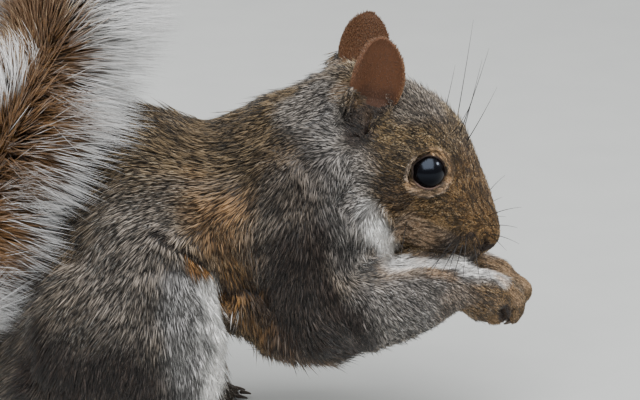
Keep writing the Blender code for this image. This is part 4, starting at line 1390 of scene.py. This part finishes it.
earColours = {"inner": ("#4a2f1e", "#6b452b"), "rim": ("#452c19", "#8c623c"),
              "back": ("#402813", "#694524")}


def earMaterial():
    # fine fuzz: russet inside the cup, gold along the rim that is partly painted highlight,
    # brown-grey behind
    material, tree, shader = newMaterial("fine ear hair", Roughness=0.6,
                                         Specular_IOR_Level=0.3, Sheen_Weight=0.1)
    rim, back, _ = readAttribute(tree, "paintA")
    along = addNode(tree, "ShaderNodeAttribute", {}, attribute_name="along")["Fac"]
    colour, *shades = [addNode(tree, "ShaderNodeMix", {0: along, 6: root, 7: tip},
                               data_type="RGBA")[2]
                       for root, tip in earColours.values()]
    for share, shade in zip((rim, back), shades):
        colour = addNode(tree, "ShaderNodeMix", {0: share, 6: colour, 7: shade},
                         data_type="RGBA")[2]
    tree.links.new(colour, shader.inputs["Base Color"])
    return material


# Eyes: a dark wet ball behind each lid
def makeEye(side):
    bm = bmesh.new()
    bmesh.ops.create_uvsphere(bm, u_segments=48, v_segments=32, radius=eyeShape["radius"])
    bmesh.ops.rotate(bm, verts=bm.verts, matrix=Matrix.Rotation(math.radians(90), 3, "X"))
    bmesh.ops.translate(bm, verts=bm.verts, vec=Vector(eyeShape["centre"] * np.array((1, side, 1))))
    return fromBmesh("eye_ball", bm)


def eyeMaterial():
    # a wet near-black eye that mirrors the studio; a blue tint on its mirroring is painted sky
    # light, and its mirroring is turned down towards the bottom as painted shade of the lids
    material, tree, shader = newMaterial("wet dark eye", Base_Color=linear("#050304"),
                                         Roughness=0.2, Specular_Tint=linear("#bfd0e8"))
    place = addNode(tree, "ShaderNodeTexCoord", {})["Object"]
    height = addNode(tree, "ShaderNodeSeparateXYZ", {0: place})["Z"]
    # painted shade of the lids: less mirroring towards the bottom of the ball
    upper = addNode(tree, "ShaderNodeMapRange", {0: height, 1: 86.5 * mm, 2: 91.5 * mm},
                    interpolation_type="SMOOTHSTEP")[0]
    glossWithPaintedLidShade = addNode(tree, "ShaderNodeMath", {0: upper, 1: 0.34, 2: 0.1},
                    operation="MULTIPLY_ADD")
    tree.links.new(glossWithPaintedLidShade[0], shader.inputs["Specular IOR Level"])
    return material


# Whiskers: root, tip and how far the middle sags, on the left; the right side mirrors them
whiskers = {
    "pad": [((92, 10, 67), (88, 28, 50), 2), ((90, 10.6, 66), (82, 27, 51), 2),
            ((88, 11, 65), (76, 26, 53), 2), ((91, 10, 64), (84, 22, 45), 1.5),
            ((89, 10.4, 63), (78, 21, 46), 1.5), ((87, 11, 62), (73, 20, 50), 1.5),
            ((94, 9.4, 67), (97, 28, 58), 1.5), ((94, 9.2, 64), (95, 24, 50), 1.5)],
    "snout": [((98.5, 7.2, 68), (107, 16, 70), 0.6), ((98.8, 7, 65.5), (108, 14, 64), 0.6),
              ((98.4, 7.2, 71), (108, 17, 77), 0.6), ((97.4, 7.8, 66.5), (103, 20, 64), 0.6)],
    "brow": [((90.3, 4.5, 98), (97.2, 17, 128.4), -0.8), ((92.4, 4.5, 95), (100, 16, 115.7), -0.6),
             ((87, 10, 99.5), (92, 20, 113), -1)],
    "cheek": [((72, 19, 74), (68, 34, 66), 1)],
}


def makeWhiskers():
    threads = []
    for root, tip, sag in (row for rows in whiskers.values() for row in rows):
        for side in (-1, 1):
            start, end = (np.array(place) * (1, side, 1) for place in (root, tip))
            shares = np.linspace(0, 1, 8)[:, None]
            curve = start + (end - start) * shares
            curve[:, 2] += sag * 4 * (shares * (1 - shares))[:, 0]
            radii = 0.14 * (1 - shares) + 0.03  # from root to tip
            threads.append(tube("whisker", np.hstack((curve, radii)), 5))
    return join(threads)


def fitted(thing, material, replaced=()):
    # its finish, its body and what it stands in for
    thing.data.materials.append(material)
    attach(thing, "root")
    if replaced:
        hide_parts(*replaced)


def finished(thing, name, material, replaced=()):
    # from the bench to its place in the frame
    thing.name = name
    setPoints(thing.data, posed(pointsOf(thing.data)))
    thing.data.transform(toFrame)
    thing.data.shade_smooth()
    fitted(thing, material, replaced)


coatHair = coatMaterial()
tailHair = tailMaterial()
earHair = earMaterial()
wetEye = eyeMaterial()
# dark horn, a little translucent-looking at its satin edge
horn = newMaterial("claw horn", Base_Color=linear("#5c5046"), Roughness=0.35,
                   Specular_IOR_Level=0.5)[0]
# smooth near-black bristle with a faint gleam
whiskerHair = newMaterial("stiff black whisker", Base_Color=linear("#15110f"), Roughness=0.4)[0]
faces = np.array([sorted(face.vertices)[0] for face in skin.data.polygons])
facePart = partAt[faces]
faceMiddle = np.array([face.center[:] for face in skin.data.polygons])
whole = {part: (facePart == number) & (onEar[faces] | ~bareSkin[faces])
         for number, part in enumerate(partNames)}
rightSide = faceMiddle[:, 1] < 0
coatRegions = {  # which skin, most tufts on it, how it is combed, breadth of its locks, slot
    "coat_head_right": (whole["head"] & rightSide, 28000, bodyComb, 0.6, "head_fur"),
    "coat_head_left": (whole["head"] & ~rightSide, 28000, bodyComb, 0.6, "head_fur"),
    "coat_ears": (whole["ear"], 6500, earComb, 0.5, "ear"),
    "coat_neck_and_arms": (whole["neck"] | whole["arm"], 29500, bodyComb, 0.55, "body_fur"),
    "coat_forearms_and_hands": (whole["forearm"] | whole["hand"], 24000, bodyComb, 0.5, "body_fur"),
    "coat_trunk_right": (whole["trunk"] & rightSide, 27000, bodyComb, 0.6, "body_fur"),
    "coat_trunk_left": (whole["trunk"] & ~rightSide, 27000, bodyComb, 0.6, "body_fur"),
    "coat_thighs": (whole["thigh"], 29500, bodyComb, 0.55, "body_fur"),
    "coat_feet": (whole["foot"], 11000, bodyComb, 0.5, "foot_fur"),
}
coatPieces = []
for name, (region, most, comb, breadth, slot) in coatRegions.items():
    coatPieces.append(growCoat(name, region, most, comb, breadth))
    fitted(coatPieces[-1], earHair if comb is earComb else coatHair)
for name, half in (("coat_tail_right", rightSide), ("coat_tail_left", ~rightSide)):
    coatPieces.append(growTail(name, whole["tail"] & half, 20000))
    fitted(coatPieces[-1], tailHair)
print("triangles", sum(len(piece.data.polygons) for piece in coatPieces))
finished(skin, "skin", skinMaterial(), (*fleshNodes, *tailNodes, *earNodes))
for side, node in ((-1, "eye_right"), (1, "eye_left")):
    finished(makeEye(side), node + "_ball", wetEye, (node,))
clawNodes = [name for name in nodes if name.startswith("claw")]
claws = benchCopy(clawNodes, 0.0)
bake(claws, "SUBSURF", levels=2)
clawPoints = pointsOf(claws.data)
handLift = 1.2  # the claws of the hands sit a little higher in the skin
setPoints(claws.data, clawPoints + (0, 0, 1) * (clawPoints[:, 2:] > 25) * handLift)
finished(claws, "claws", horn, clawNodes)
finished(makeWhiskers(), "whiskers", whiskerHair)
print("eyes, claws and whiskers ready")
